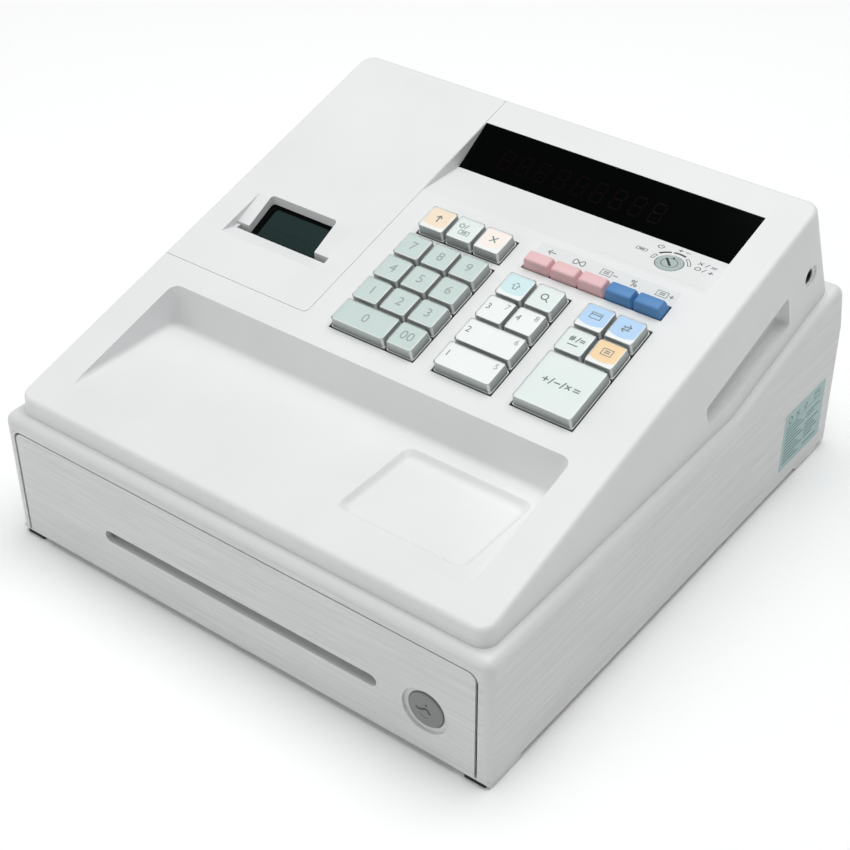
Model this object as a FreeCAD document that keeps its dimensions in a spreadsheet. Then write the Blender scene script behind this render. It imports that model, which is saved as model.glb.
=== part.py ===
import FreeCAD, Part
import os
import Sketcher
from FreeCAD import Placement, Rotation, Vector

# A desktop cash register: a drawer case with a sloping keyboard housing on top of it.
# Frame: millimetres, +Z up, origin on the table under the middle of the case.
# The drawer faces -Y, and +X is to the right of somebody who stands in front of it.

DIMENSIONS = [
    # the drawer case
    ("case_width", 335), ("case_depth", 360), ("case_bottom", 4.8), ("deck_top", 86),
    ("case_round", 6), ("wall", 3), ("rise_start", 57), ("rise_end", 173), ("rise_slope", 0.28),
    ("kink_height", 88), ("stile", 7.2), ("lintel_bottom", 77), ("opening_round", 6),
    ("foot_low", 0.8), ("foot_wide", 22), ("foot_long", 28), ("pad_wide", 13), ("pad_tall", 2.6),
    # the sloping housing: its top is one plane, plane_front high above the case's front edge
    ("plane_front", 95.6), ("slope", 0.275), ("housing_half", 160.3), ("housing_front", -173),
    ("housing_rear_low", 168), ("housing_rear_top", 140.5), ("housing_wall", 2.8),
    ("corner_front", 9), ("rim_round", 3.4), ("seam", 0.3),
    # the printer cover
    ("cover_right", -51.6), ("cover_front", -52), ("cover_lip", 13), ("cover_corner", 3.5),
    ("outlet_left", -140), ("outlet_right", -66.5), ("outlet_rear", 11), ("outlet_lip", -9.4),
    ("outlet_depth", 4.4), ("ledge_front", -24), ("ledge_rear", -13.4), ("ledge_depth", 4.9),
    ("glass_left", -131), ("glass_right", -81), ("glass_rear", 12.5), ("glass_drop", 10),
    ("glass_round", 2.5),
    # the display notch
    ("notch_left", -51), ("notch_right", 137.7), ("notch_front", 55), ("shelf_rear", 89.7),
    ("shelf_height", 160), ("display_rear", 118), ("window_thick", 2),
    ("mode_x", 106), ("mode_y", 71), ("mode_radius", 8),
    # the key field, measured along the slope from the foot of Y = 0
    ("key_pitch", 19.2), ("key_gap", 0.6), ("well_margin", 0.55), ("key_height", 6.8),
    ("key_taper", 0.75), ("key_skirt", 3.4), ("stem_size", 6), ("stem_drop", 7.6),
    ("field_front", -56.7), ("number_left", -33.2), ("item_left", 37), ("total_left", 88),
    ("top_row", 25.1), ("button_front", 29.6), ("button_pitch", 17.8), ("button_deep", 11.1),
    ("button_left", 36.9), ("board_drop", 12.6), ("board_thick", 1.6),
    # the coin tray in the housing
    ("tray_left", -136.5), ("tray_right", 137.5), ("tray_rear", -69), ("tray_floor", 102.4),
    ("tray_lean", 6), ("tray_deep", 24), ("tray_side_lean", 3), ("dish_left", 45.8), ("dish_right", 126.5),
    ("dish_front", -146.5), ("dish_rear", -85), ("dish_floor", 98.5), ("dish_lean", 3.4), ("pan", 2.5),
    # hand grips and the side socket
    ("grip_depth", 8), ("jack_y", 136.8), ("jack_z", 138.5), ("jack_radius", 4.4),
    # the drawer
    ("front_half", 158.7), ("front_bottom", 5.1), ("front_top", 76.1), ("front_thick", 12),
    ("front_skin", 3), ("pull_half", 95.8), ("pull_x", 1.8), ("pull_low", 30.8), ("pull_high", 38.4),
    ("lock_x", 128), ("lock_z", 33.4), ("lock_radius", 11), ("lock_sink", 1.6),
    ("box_half", 150), ("box_rear", 150), ("box_bottom", 9), ("box_top", 67), ("sheet", 1),
    ("flange", 8), ("roller_radius", 7), ("roller_y", 138), ("roller_gap", 0.3),
    ("till_half", 147), ("till_front", -164), ("till_rear", 146), ("till_top", 64),
    # the printer
    ("paper_mid", -106.5), ("paper_wide", 57.5), ("roll_radius", 28), ("roll_y", 74), ("roll_z", 128),
    ("platen_radius", 6), ("platen_y", -14), ("platen_z", 113), ("cheek", 2.5),
]

doc = FreeCAD.newDocument("cash_register")
sheet = doc.addObject("Spreadsheet::Sheet", "dim")
for row, (alias, value) in enumerate(DIMENSIONS, start=1):
    sheet.set(f"A{row}", alias)
    sheet.set(f"B{row}", str(value))
    sheet.setAlias(f"B{row}", alias)
doc.recompute()

SIZE = dict(DIMENSIONS)
HALF_W = "dim.case_width / 2"
HALF_D = "dim.case_depth / 2"
TURN_TO_YZ = Rotation(Vector(1, 1, 1), 120)
SLOPE_ANGLE = "atan(dim.slope)"
UP = Vector(0, 0, 1)
ACROSS = Vector(1, 0, 0)
BACK = Vector(0, 1, 0)
FIRST_CORNER = Vector(15, 0, 0)
nodes = []


# ---------------------------------------------------------------- helpers

def plane(y):
    """Height of the housing's sloping top over a given Y."""
    return f"(dim.plane_front + dim.slope * (({y}) + {HALF_D}))"


def shoulder(y):
    """Height of the case's rising rear shoulder over a given Y."""
    return f"(dim.deck_top + dim.rise_slope * (({y}) - dim.rise_start))"


def bind(thing, expressions):
    """Tie properties of an object to the sheet."""
    for prop, expression in expressions.items():
        thing.setExpression(prop, str(expression))
    return thing


def outline(sketch, points):
    """Fill a sketch with a closed outline whose corners sit where the expressions say."""
    corners = [Rotation(UP, 360 / len(points) * i).multVec(FIRST_CORNER) for i in range(len(points))]
    for i, corner in enumerate(corners):
        sketch.addGeometry(Part.LineSegment(corner, corners[(i + 1) % len(corners)]), False)
    for i in range(len(corners)):
        sketch.addConstraint(Sketcher.Constraint("Coincident", i, 2, (i + 1) % len(corners), 1))
    for i, (across, up) in enumerate(points):
        for kind, expression in (("DistanceX", across), ("DistanceY", up)):
            place = corners[i].x if kind == "DistanceX" else corners[i].y
            index = sketch.addConstraint(Sketcher.Constraint(kind, -1, 1, i, 1, place))
            sketch.renameConstraint(index, f"{kind}{i}")
            sketch.setExpression(f"Constraints.{kind}{i}", str(expression))


def prism(name, points, x0, x1):
    """A solid with a side outline in Y and Z, running along X from x0 to x1."""
    sketch = doc.addObject("Sketcher::SketchObject", name + "_outline")
    sketch.Placement = Placement(Vector(0, 0, 0), TURN_TO_YZ)
    outline(sketch, points)
    bind(sketch, {"Placement.Base.x": x0})
    solid = doc.addObject("Part::Extrusion", name)
    solid.Base = sketch
    solid.DirMode = "Custom"
    solid.Dir = ACROSS
    solid.Solid = True
    return bind(solid, {"LengthFwd": f"({x1}) - ({x0})"})


def box(name, x, y, z):
    """A block between two expressions along each axis."""
    solid = doc.addObject("Part::Box", name)
    for prop, axis, (low, high) in (("Length", "x", x), ("Width", "y", y), ("Height", "z", z)):
        bind(solid, {prop: f"({high}) - ({low})", f"Placement.Base.{axis}": low})
    return solid


def leaning_box(name, x, along, normal, origin_y, origin_z, angle):
    """A block in a frame that is turned about X at (origin_y, origin_z)."""
    solid = doc.addObject("Part::Box", name)
    solid.Placement = Placement(Vector(0, 0, 0), Rotation(ACROSS, 10))
    bind(solid, {
        "Length": f"({x[1]}) - ({x[0]})",
        "Width": f"({along[1]}) - ({along[0]})",
        "Height": f"({normal[1]}) - ({normal[0]})",
        "Placement.Rotation.Angle": angle,
        "Placement.Base.x": x[0],
        "Placement.Base.y": f"({origin_y}) + ({along[0]}) * cos({angle}) - ({normal[0]}) * sin({angle})",
        "Placement.Base.z": f"({origin_z}) + ({along[0]}) * sin({angle}) + ({normal[0]}) * cos({angle})"})
    return solid


def sloping_box(name, x, along, normal):
    """A block square to the housing's sloping top."""
    return leaning_box(name, x, along, normal, "0", plane("0"), SLOPE_ANGLE)


def tapered(name, wide, deep, low, high, taper, front_taper, rear_taper):
    """A block whose sides lean in by the tapers from low to high."""
    cap = doc.addObject("Part::Wedge", name)
    return bind(cap, {
        "Xmin": f"-({wide}) / 2", "Xmax": f"({wide}) / 2", "Zmin": f"-({deep}) / 2", "Zmax": f"({deep}) / 2",
        "X2min": f"-({wide}) / 2 + {taper}", "X2max": f"({wide}) / 2 - {taper}",
        "Z2min": f"-({deep}) / 2 + {rear_taper}", "Z2max": f"({deep}) / 2 - {front_taper}",
        "Ymin": low, "Ymax": high})


def set_on_slope(thing, middle_x, along):
    """Stand a solid on the sloping top, its Y axis square to the slope."""
    thing.Placement = Placement(Vector(0, 0, 0), Rotation(ACROSS, 100))
    return bind(thing, {"Placement.Rotation.Angle": f"90deg + {SLOPE_ANGLE}", "Placement.Base.x": middle_x,
                        "Placement.Base.y": f"({along}) * cos({SLOPE_ANGLE})",
                        "Placement.Base.z": f"{plane('0')} + ({along}) * sin({SLOPE_ANGLE})"})


def cylinder(name, axis, centre, radius, length):
    """A cylinder that starts at centre and runs along +X, +Y or +Z."""
    turns = {"x": Rotation(Vector(0, 1, 0), 90), "y": Rotation(ACROSS, -90), "z": Rotation()}
    solid = doc.addObject("Part::Cylinder", name)
    solid.Placement = Placement(Vector(0, 0, 0), turns[axis])
    return bind(solid, {"Radius": radius, "Height": length, "Placement.Base.x": centre[0],
                        "Placement.Base.y": centre[1], "Placement.Base.z": centre[2]})


def fuse(name, pieces):
    """One solid out of several."""
    solid = doc.addObject("Part::MultiFuse", name)
    solid.Shapes = pieces
    return solid


def cut(name, base, tools):
    """The base without its tools."""
    solid = doc.addObject("Part::Cut", name)
    solid.Base = base
    solid.Tool = tools[0] if len(tools) == 1 else fuse(name + "_tools", tools)
    return solid


def common(name, first, second):
    """What two solids share."""
    solid = doc.addObject("Part::Common", name)
    solid.Base = first
    solid.Tool = second
    return solid


def group(name, pieces):
    """Several separate solids that make one node."""
    solid = doc.addObject("Part::Compound", name)
    solid.Links = pieces
    return solid


def rounded(name, base, radius, chosen):
    """The base with every chosen edge rounded."""
    doc.recompute()
    solid = doc.addObject("Part::Fillet", name)
    solid.Base = base
    solid.Edges = [(i, radius, radius) for i, edge in enumerate(base.Shape.Edges, start=1) if chosen(edge)]
    return solid


def side_span(sign, near, far):
    """An X span on the right (sign 1) or the left (sign -1), from its distances to the middle plane."""
    return (near, far) if sign > 0 else (f"-({far})", f"-({near})")


def node(label, thing):
    """Name a finished sub-part; the label names its file."""
    thing.Label = label
    nodes.append(thing)
    return thing


def runs_along(edge, direction):
    """Whether a straight edge is parallel to a direction."""
    if edge.Curve.TypeId != "Part::GeomLine":
        return False
    return edge.tangentAt(edge.FirstParameter).cross(direction).Length < 0.01


def in_side_plane(edge, half):
    """Whether an edge lies in the plane X = half or X = -half."""
    bounds = edge.BoundBox
    return bounds.XLength < 0.01 and abs(abs(bounds.XMin) - half) < 0.01


# ---------------------------------------------------------------- the drawer case

def lower_case():
    """The moulded case: side and rear walls, the deck over the drawer and the four feet."""
    form = prism("case_form", [
        (f"-{HALF_D}", "dim.case_bottom"), (f"-{HALF_D}", "dim.deck_top"),
        ("dim.rise_start", "dim.deck_top"), ("dim.rise_end", shoulder("dim.rise_end")),
        (HALF_D, "dim.kink_height"), (HALF_D, "dim.case_bottom")], f"-{HALF_W}", HALF_W)
    half = SIZE["case_width"] / 2
    low = SIZE["case_bottom"]

    def outer(edge):
        if edge.BoundBox.ZMax < low + 0.1:
            return False
        if in_side_plane(edge, half):
            return True
        middle = edge.CenterOfMass
        at_front_top = middle.y < -SIZE["case_depth"] / 2 + 0.1 and middle.z > low + 1
        return at_front_top or abs(middle.y - SIZE["rise_end"]) < 0.1

    soft = rounded("case_soft", form, SIZE["case_round"], outer)
    inner = f"({HALF_W} - dim.wall)"
    opening = box("drawer_opening", (f"-({HALF_W} - dim.stile)", f"{HALF_W} - dim.stile"),
                  (f"-{HALF_D} - 1", "0"), ("dim.case_bottom - 1", "dim.lintel_bottom"))
    opening_soft = rounded("drawer_opening_soft", opening, SIZE["opening_round"],
                           lambda edge: runs_along(edge, BACK) and edge.BoundBox.ZMin > low)
    bay = prism("drawer_bay", [
        (f"-{HALF_D} + 10", "dim.case_bottom - 1"), (f"-{HALF_D} + 10", "dim.deck_top - dim.wall"),
        ("dim.rise_start + 1", "dim.deck_top - dim.wall"),
        ("dim.rise_end - 5", shoulder("dim.rise_end - 5") + " - dim.wall"),
        (f"{HALF_D} - dim.wall", "dim.kink_height"), (f"{HALF_D} - dim.wall", "dim.case_bottom - 1")],
        f"-{inner}", inner)
    wire_hole = box("wire_hole", (20, 60), (20, 45), ("dim.deck_top - 10", "dim.deck_top + 1"))
    inlet_hole = box("inlet_hole", (118, 140), (f"{HALF_D} - 10", f"{HALF_D} + 1"), (22, 38))
    inlet_step = box("inlet_step", (114.8, 143.2), (f"{HALF_D} - 1.4", f"{HALF_D} + 1"), (18.8, 41.2))
    shell = cut("case_shell", soft, [opening_soft, bay, wire_hole, inlet_hole, inlet_step])
    additions = [shell]
    for side, sign in (("left", -1), ("right", 1)):
        for end, front in (("front", f"-{HALF_D} + 1.2"), ("rear", "139")):
            span = side_span(sign, f"{HALF_W} - 0.6 - dim.foot_wide", f"{HALF_W} - 0.6")
            foot = box(f"foot_{end}_{side}", span, (front, f"{front} + dim.foot_long"),
                       ("dim.foot_low", "dim.case_bottom"))
            nose_y = -SIZE["case_depth"] / 2 + 1.2 if end == "front" else 139

            def nose(edge, nose_y=nose_y):
                bounds = edge.BoundBox
                return runs_along(edge, ACROSS) and bounds.ZMax < 1 and abs(bounds.YMin - nose_y) < 0.1

            additions.append(rounded(f"foot_{end}_{side}_soft", foot, 3.4, nose))
        rail = side_span(sign, f"{inner} - 9", f"{inner} + 1")
        additions.append(box(f"rail_{side}", rail, (f"-{HALF_D} + 14", "165"), (70.2, 73.2)))
    case = fuse("case_with_feet", additions)
    pads = [box(f"pad_hole_{i}", (f"{x} - dim.pad_wide / 2", f"{x} + dim.pad_wide / 2"), y,
                ("-1", "dim.pad_tall")) for i, (x, y) in enumerate(pad_places())]
    return node("lower_case", cut("lower_case", case, pads))


def pad_places():
    """Middle X and Y span of each rubber pad."""
    front = (f"-{HALF_D} + 1.7", f"-{HALF_D} + 27")
    rear = ("141", "165")
    return [(x, y) for x in ("-157.8", "157.8") for y in (front, rear)]


def foot_pads():
    """Four rubber pads set into the feet."""
    pads = [box(f"pad_{i}", (f"{x} - dim.pad_wide / 2 + 0.1", f"{x} + dim.pad_wide / 2 - 0.1"),
                (f"{y[0]} + 0.1", f"{y[1]} - 0.1"), ("0", "dim.pad_tall"))
            for i, (x, y) in enumerate(pad_places())]
    return node("foot_pads", group("foot_pads", pads))


def base_plate():
    """Pressed steel floor under the drawer, with stiffening ribs and the screw holes."""
    inner = f"({HALF_W} - dim.wall - 0.2)"
    plate = box("floor_plate", (f"-{inner}", inner), (f"-{HALF_D} + 15", f"{HALF_D} - dim.wall - 0.3"),
                ("dim.case_bottom", "dim.case_bottom + dim.sheet"))
    holes = [cylinder(f"floor_hole_{i}", "z", (x, y, "0"), "1.8", "20")
             for i, (x, y) in enumerate(screw_places())]
    vents = [box(f"vent_{i}", (-60, 60), (y, y + 4), (0, 20)) for i, y in enumerate(range(-80, 100, 30))]
    floor = cut("floor_pierced", plate, holes + vents)
    ears = [box(f"latch_ear_{x}", (x, x + 2), (160, 174), ("dim.case_bottom + 1", 26)) for x in (-9, 7)]
    pin = cylinder("latch_pin", "x", (-9, 167, 19), 2.5, 18)
    return node("base_plate", fuse("base_plate", [floor, pin] + ears))


def screw_places():
    """Where the base screws stand."""
    return [(x, y) for x in (-130, 130) for y in (-120, 20, 120)]


def housing_screws():
    """Six pan-head screws from below: a head, a shank and a nut plate above the floor."""
    screws = []
    for i, (x, y) in enumerate(screw_places()):
        head = cylinder(f"screw_head_{i}", "z", (x, y, "dim.case_bottom - 2.2"), "3.4", "2.2")
        shank = cylinder(f"screw_shank_{i}", "z", (x, y, "dim.case_bottom - 1"), "1.7", "3.4")
        cross = [box(f"screw_slot_{i}_{j}", (x - a, x + a), (y - b, y + b), (0, "dim.case_bottom - 1"))
                 for j, (a, b) in enumerate(((2, 0.45), (0.45, 2)))]
        screws.append(cut(f"screw_{i}", fuse(f"screw_body_{i}", [head, shank]), cross))
    return node("housing_screws", group("housing_screws", screws))


def power_inlet():
    """Two-pin mains inlet in the rear wall."""
    rear = f"{HALF_D}"
    body = box("inlet_body", (118.2, 139.8), (f"{rear} - 16", f"{rear} - 1"), (22.2, 37.8))
    lip = box("inlet_lip", (115, 143), (f"{rear} - 1.4", f"{rear} - 0.1"), (19, 41))
    mouth = box("inlet_mouth", (120.5, 137.5), (f"{rear} - 12", f"{rear} + 3"), (25.5, 34.5))
    pins = [cylinder(f"inlet_pin_{x}", "y", (x, f"{rear} - 13", 30), "1.2", "6") for x in (125, 133)]
    return node("power_inlet", fuse("power_inlet", [
        cut("inlet_socket", fuse("inlet_block", [body, lip]), [mouth])] + pins))


# ---------------------------------------------------------------- the sloping housing

def housing_form():
    """The housing's outer form, with its rounded corners and rim."""
    form = prism("housing_block", [
        ("dim.housing_front", "dim.deck_top"), ("dim.rise_start", "dim.deck_top"),
        ("dim.housing_rear_low", shoulder("dim.housing_rear_low")),
        ("dim.housing_rear_top", plane("dim.housing_rear_top")),
        ("dim.housing_front", plane("dim.housing_front"))], "-dim.housing_half", "dim.housing_half")
    half = SIZE["housing_half"]
    lowest_rim = SIZE["plane_front"] + 1

    def upright(edge):
        bounds = edge.BoundBox
        front = runs_along(edge, UP) and bounds.YMax < SIZE["housing_front"] + 0.1
        rear = bounds.YMin > SIZE["housing_rear_top"] - 0.1 and bounds.YLength > 5
        return in_side_plane(edge, half) and (front or rear)

    def rim(edge):
        bounds = edge.BoundBox
        middle = edge.CenterOfMass
        top = SIZE["plane_front"] + SIZE["slope"] * (middle.y + SIZE["case_depth"] / 2)
        return bounds.ZMin > lowest_rim and abs(middle.z - top) < 0.05

    corners = rounded("housing_corners", form, SIZE["corner_front"], upright)
    return rounded("housing_form", corners, SIZE["rim_round"], rim)


def housing_void():
    """The hollow inside the housing, open at the bottom."""
    front = "dim.housing_front + dim.housing_wall"
    low = "dim.housing_rear_low - dim.housing_wall"
    top = "dim.housing_rear_top - dim.housing_wall"
    drop = "dim.housing_wall * 1.05"
    half = "(dim.housing_half - dim.housing_wall)"
    return prism("housing_void", [
        (front, "60"), (low, "60"), (low, shoulder("dim.housing_rear_low")),
        (top, f"{plane(top)} - {drop}"), (front, f"{plane(front)} - {drop}")], f"-{half}", half)


def cover_zone(name, right, front, depth):
    """A block from a depth under the sloping top upwards, left of and behind the cover's seam."""
    zone = sloping_box(name, ("-dim.housing_half - 5", right), (f"({front}) / cos({SLOPE_ANGLE})", "180"),
                       (f"-({depth})", "20"))
    corner_x = SIZE["cover_right"]
    front_y = SIZE["cover_front"]

    def corner(edge):
        bounds = edge.BoundBox
        return bounds.XLength < 0.01 and bounds.XMin > corner_x - 5 and bounds.YMax < front_y + 20

    return rounded(name + "_soft", zone, SIZE["cover_corner"], corner)


def notch_angle():
    """Lean of the display window."""
    return f"atan(({plane('dim.display_rear')} - dim.shelf_height) / (dim.display_rear - dim.shelf_rear))"


def display_slab(name, x, along, normal):
    """A block that lies along the display's leaning face."""
    return leaning_box(name, x, along, normal, "dim.shelf_rear", "dim.shelf_height", notch_angle())


def display_length():
    """Length of the display's leaning face."""
    return f"((dim.display_rear - dim.shelf_rear) / cos({notch_angle()}))"


def wells():
    """Openings for the keys, as (name, x span, span along the slope)."""
    margin = "2 * dim.well_margin"
    rows = f"4 * dim.key_pitch + {margin}"
    field = ("dim.field_front", f"dim.field_front + {rows}")
    return [
        ("number", ("dim.number_left", f"dim.number_left + 3 * dim.key_pitch + {margin}"), field),
        ("item", ("dim.item_left", f"dim.item_left + 2 * dim.key_pitch + {margin}"), field),
        ("total", ("dim.total_left", f"dim.total_left + 2 * dim.key_pitch + {margin}"), field),
        ("paper", ("dim.number_left", f"dim.number_left + 3 * dim.key_pitch + {margin}"),
         ("dim.top_row", f"dim.top_row + dim.key_pitch + {margin}")),
        ("function", ("dim.button_left", f"dim.button_left + 5 * dim.button_pitch + {margin}"),
         ("dim.button_front", "dim.button_front + dim.button_deep + dim.well_margin"))]


def grip_outline():
    """Outline of a hand grip on the housing's side."""
    return [(31, 97.5), (56, 98.4), (118, 115.6), (112, 138), (26, 111)]


def tray_void():
    """The hollow of the coin tray: a level floor under the sloping top."""
    front = f"(dim.tray_floor - dim.plane_front) / dim.slope - {HALF_D}"
    top = f"({plane('dim.tray_rear')} + 12)"
    lean = f"dim.tray_lean / ({plane('dim.tray_rear')} - dim.tray_floor)"
    length = prism("tray_length", [
        (front, "dim.tray_floor"), ("dim.tray_rear - dim.tray_lean", "dim.tray_floor"),
        (f"dim.tray_rear + 12 * {lean}", top), (front, top)], "dim.tray_left - 5", "dim.tray_right + 5")
    width = "dim.tray_right - dim.tray_left"
    sides = tapered("tray_width", f"{width} - 2 * dim.tray_side_lean", "300", "-dim.tray_deep",
                    "dim.tray_deep", "-2 * dim.tray_side_lean", "0", "0")
    set_on_slope(sides, "(dim.tray_left + dim.tray_right) / 2", "dim.tray_rear")
    void = common("tray_hollow", length, sides)
    left, right, floor, rear = (SIZE[k] for k in ("tray_left", "tray_right", "tray_floor", "tray_rear"))

    def corner(edge):
        bounds = edge.BoundBox
        at_side = bounds.XMax < left + 4 or bounds.XMin > right - 4
        at_rear = bounds.YMin > rear - SIZE["tray_lean"] - 0.1 and bounds.ZMin < floor + 0.1
        return at_side and at_rear and bounds.ZLength > 5

    def foot(edge):
        bounds = edge.BoundBox
        return bounds.ZMax < floor + 0.1 and bounds.YMax > -150

    upright = rounded("tray_corners", void, 6, corner)
    return rounded("tray_void", upright, 3.5, foot)


def dish_void():
    """The hollow of the small coin dish in the tray's floor."""
    depth = "(dim.tray_floor - dim.dish_floor)"
    lean = f"-dim.dish_lean * ({depth} + 1) / {depth}"
    void = tapered("dish_hollow", "dim.dish_right - dim.dish_left - 2 * dim.dish_lean",
                   "dim.dish_rear - dim.dish_front - 2 * dim.dish_lean", "0", f"{depth} + 1",
                   lean, lean, lean)
    void.Placement = Placement(Vector(0, 0, 0), Rotation(ACROSS, 90))
    bind(void, {"Placement.Base.x": "(dim.dish_left + dim.dish_right) / 2",
                "Placement.Base.y": "(dim.dish_front + dim.dish_rear) / 2",
                "Placement.Base.z": "dim.dish_floor"})
    floor = SIZE["dish_floor"]
    corners = rounded("dish_corners", void, 8, lambda edge: edge.BoundBox.ZLength > 1)
    return rounded("dish_void", corners, 5, lambda edge: edge.BoundBox.ZMax < floor + 0.1)


def coin_hollow():
    """Tray and dish together, with the dish's lip rounded over."""
    hollow = fuse("coin_hollow", [tray_void(), dish_void()])
    left, right, front, rear = (SIZE[k] for k in ("dish_left", "dish_right", "dish_front", "dish_rear"))
    floor = SIZE["tray_floor"]

    def lip(edge):
        bounds = edge.BoundBox
        level = bounds.ZLength < 0.01 and abs(bounds.ZMin - floor) < 0.01
        across = bounds.XMin > left - 0.1 and bounds.XMax < right + 0.1
        return level and across and bounds.YMin > front - 0.1 and bounds.YMax < rear + 0.1

    return rounded("coin_hollow_soft", hollow, 1.2, lip)


def upper_housing(form, void):
    """The keyboard housing with its tray, wells, display notch, printer bay and grips."""
    shell = cut("housing_shell", form, [void])
    deck = "dim.deck_top"
    additions = [
        prism("tray_pan", [
            ("-158", "dim.tray_floor - dim.pan"), ("dim.tray_rear + 2", "dim.tray_floor - dim.pan"),
            ("dim.tray_rear + 3.5", plane("dim.tray_rear") + " - 1"), ("-158", plane("-158") + " - 1")],
            "dim.tray_left - dim.pan", "dim.tray_right + dim.pan"),
        box("dish_pan", ("dim.dish_left - dim.pan", "dim.dish_right + dim.pan"),
            ("dim.dish_front - dim.pan", "dim.dish_rear + dim.pan"),
            ("dim.dish_floor - dim.pan", "dim.tray_floor - 1")),
        prism("notch_pan", [
            ("dim.notch_front - 2", plane("dim.notch_front") + " - 4"),
            ("dim.shelf_rear - 2", "dim.shelf_height - dim.pan"),
            ("dim.shelf_rear + 3", "dim.shelf_height - dim.pan - 2"),
            ("dim.display_rear + 8", plane("dim.display_rear + 8") + " - 5"),
            ("dim.display_rear + 8", plane("dim.display_rear + 8") + " - 1"),
            ("dim.notch_front - 2", plane("dim.notch_front") + " - 1")],
            "dim.notch_left - dim.pan", "dim.notch_right + dim.pan"),
        prism("bay_wall", [
            ("dim.cover_front - 3", deck), ("dim.rise_start", deck), ("150", shoulder("150")),
            ("138", plane("138") + " - 2"), ("dim.cover_front - 3", plane("dim.cover_front - 3") + " - 2")],
            "dim.cover_right - 1.6", "dim.cover_right + 1.4"),
        prism("bay_front", [
            ("dim.cover_front - 3", deck), ("dim.cover_front - 0.6", deck),
            ("dim.cover_front - 0.6", plane("dim.cover_front - 1") + " - 2"),
            ("dim.cover_front - 3", plane("dim.cover_front - 3") + " - 2")],
            "-dim.housing_half + 1", "dim.cover_right")]
    grip_cups = []
    grip_holes = []
    for side, span in (("left", ("-dim.housing_half - 1", "-dim.housing_half + dim.grip_depth")),
                       ("right", ("dim.housing_half - dim.grip_depth", "dim.housing_half + 1"))):
        hole = prism(f"grip_hole_{side}", grip_outline(), *span)
        inner_x = SIZE["housing_half"] - SIZE["grip_depth"]

        def soft(edge, inner_x=inner_x):
            bounds = edge.BoundBox
            through = runs_along(edge, ACROSS)
            inside = bounds.XLength < 0.01 and abs(abs(bounds.XMin) - inner_x) < 0.01
            return through or inside

        grip_holes.append(rounded(f"grip_soft_{side}", hole, 3.5, soft))
        pan = [(28, 93.5), (57, 95.4), (121, 113.4), (114, 141.5), (22.5, 112.5)]
        wide = (span[0] if side == "left" else f"{span[0]} - dim.pan",
                f"{span[1]} + dim.pan" if side == "left" else span[1])
        grip_cups.append(prism(f"grip_pan_{side}", pan, *wide))
    solid = common("housing_trimmed", form, fuse("housing_pieces", [shell] + additions + grip_cups))

    hollows = [cover_zone("bay_zone", "dim.cover_right - 1.6", "dim.cover_front - dim.seam",
                          "dim.cover_lip + dim.seam"),
               cover_zone("cover_rest", "dim.cover_right + dim.seam", "dim.cover_front - dim.seam",
                          "dim.housing_wall + 0.2"),
               coin_hollow()] + grip_holes
    hollows.append(prism("notch_hollow", [
        ("dim.notch_front", plane("dim.notch_front")), ("dim.shelf_rear", "dim.shelf_height"),
        ("dim.display_rear", plane("dim.display_rear")),
        ("dim.display_rear", plane("dim.display_rear") + " + 9"),
        ("dim.notch_front", plane("dim.display_rear") + " + 9")], "dim.notch_left", "dim.notch_right"))
    hollows.append(display_slab("window_seat", ("dim.notch_left", "dim.notch_right"),
                                ("-0.01", f"{display_length()} - 0.01"), ("-dim.window_thick - 0.2", "0.5")))
    hollows.append(display_slab("digit_hole", (-34, 96), (7, "25"), (-12, 1)))
    for name, across, along in wells():
        hollows.append(sloping_box(f"well_{name}", across, along, (-9, 3)))
    hollows.append(cylinder("mode_hole", "z", ("dim.mode_x", "dim.mode_y", "dim.shelf_height - 9"),
                            "dim.mode_radius + 0.35", "20"))
    hollows.append(cylinder("jack_hole", "x", ("dim.housing_half - 6", "dim.jack_y", "dim.jack_z"),
                            "dim.jack_radius + 0.2", "12"))
    hollows.append(cylinder("jack_dimple", "x", ("dim.housing_half - 1", "dim.jack_y + 1", "dim.jack_z"),
                            "dim.jack_radius + 2.2", "5"))
    hollows.append(rear_slab("rear_seat", (14, 116), (34, 60), (-1.6, 3)))
    hollows.append(rear_slab("rear_hole", (22, 108), (38, 56), (-8, 1)))
    return node("upper_housing", cut("upper_housing", solid, hollows))


def rear_angle():
    """Lean of the housing's rear wall, from level."""
    rise = f"({plane('dim.housing_rear_top')} - {shoulder('dim.housing_rear_low')})"
    return f"(180deg - atan({rise} / (dim.housing_rear_low - dim.housing_rear_top)))"


def rear_slab(name, x, along, normal):
    """A block that lies along the rear wall; its normal span is measured outwards."""
    flipped = (f"-({normal[1]})", f"-({normal[0]})")
    return leaning_box(name, x, along, flipped, "dim.housing_rear_low",
                       shoulder("dim.housing_rear_low"), rear_angle())


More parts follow.
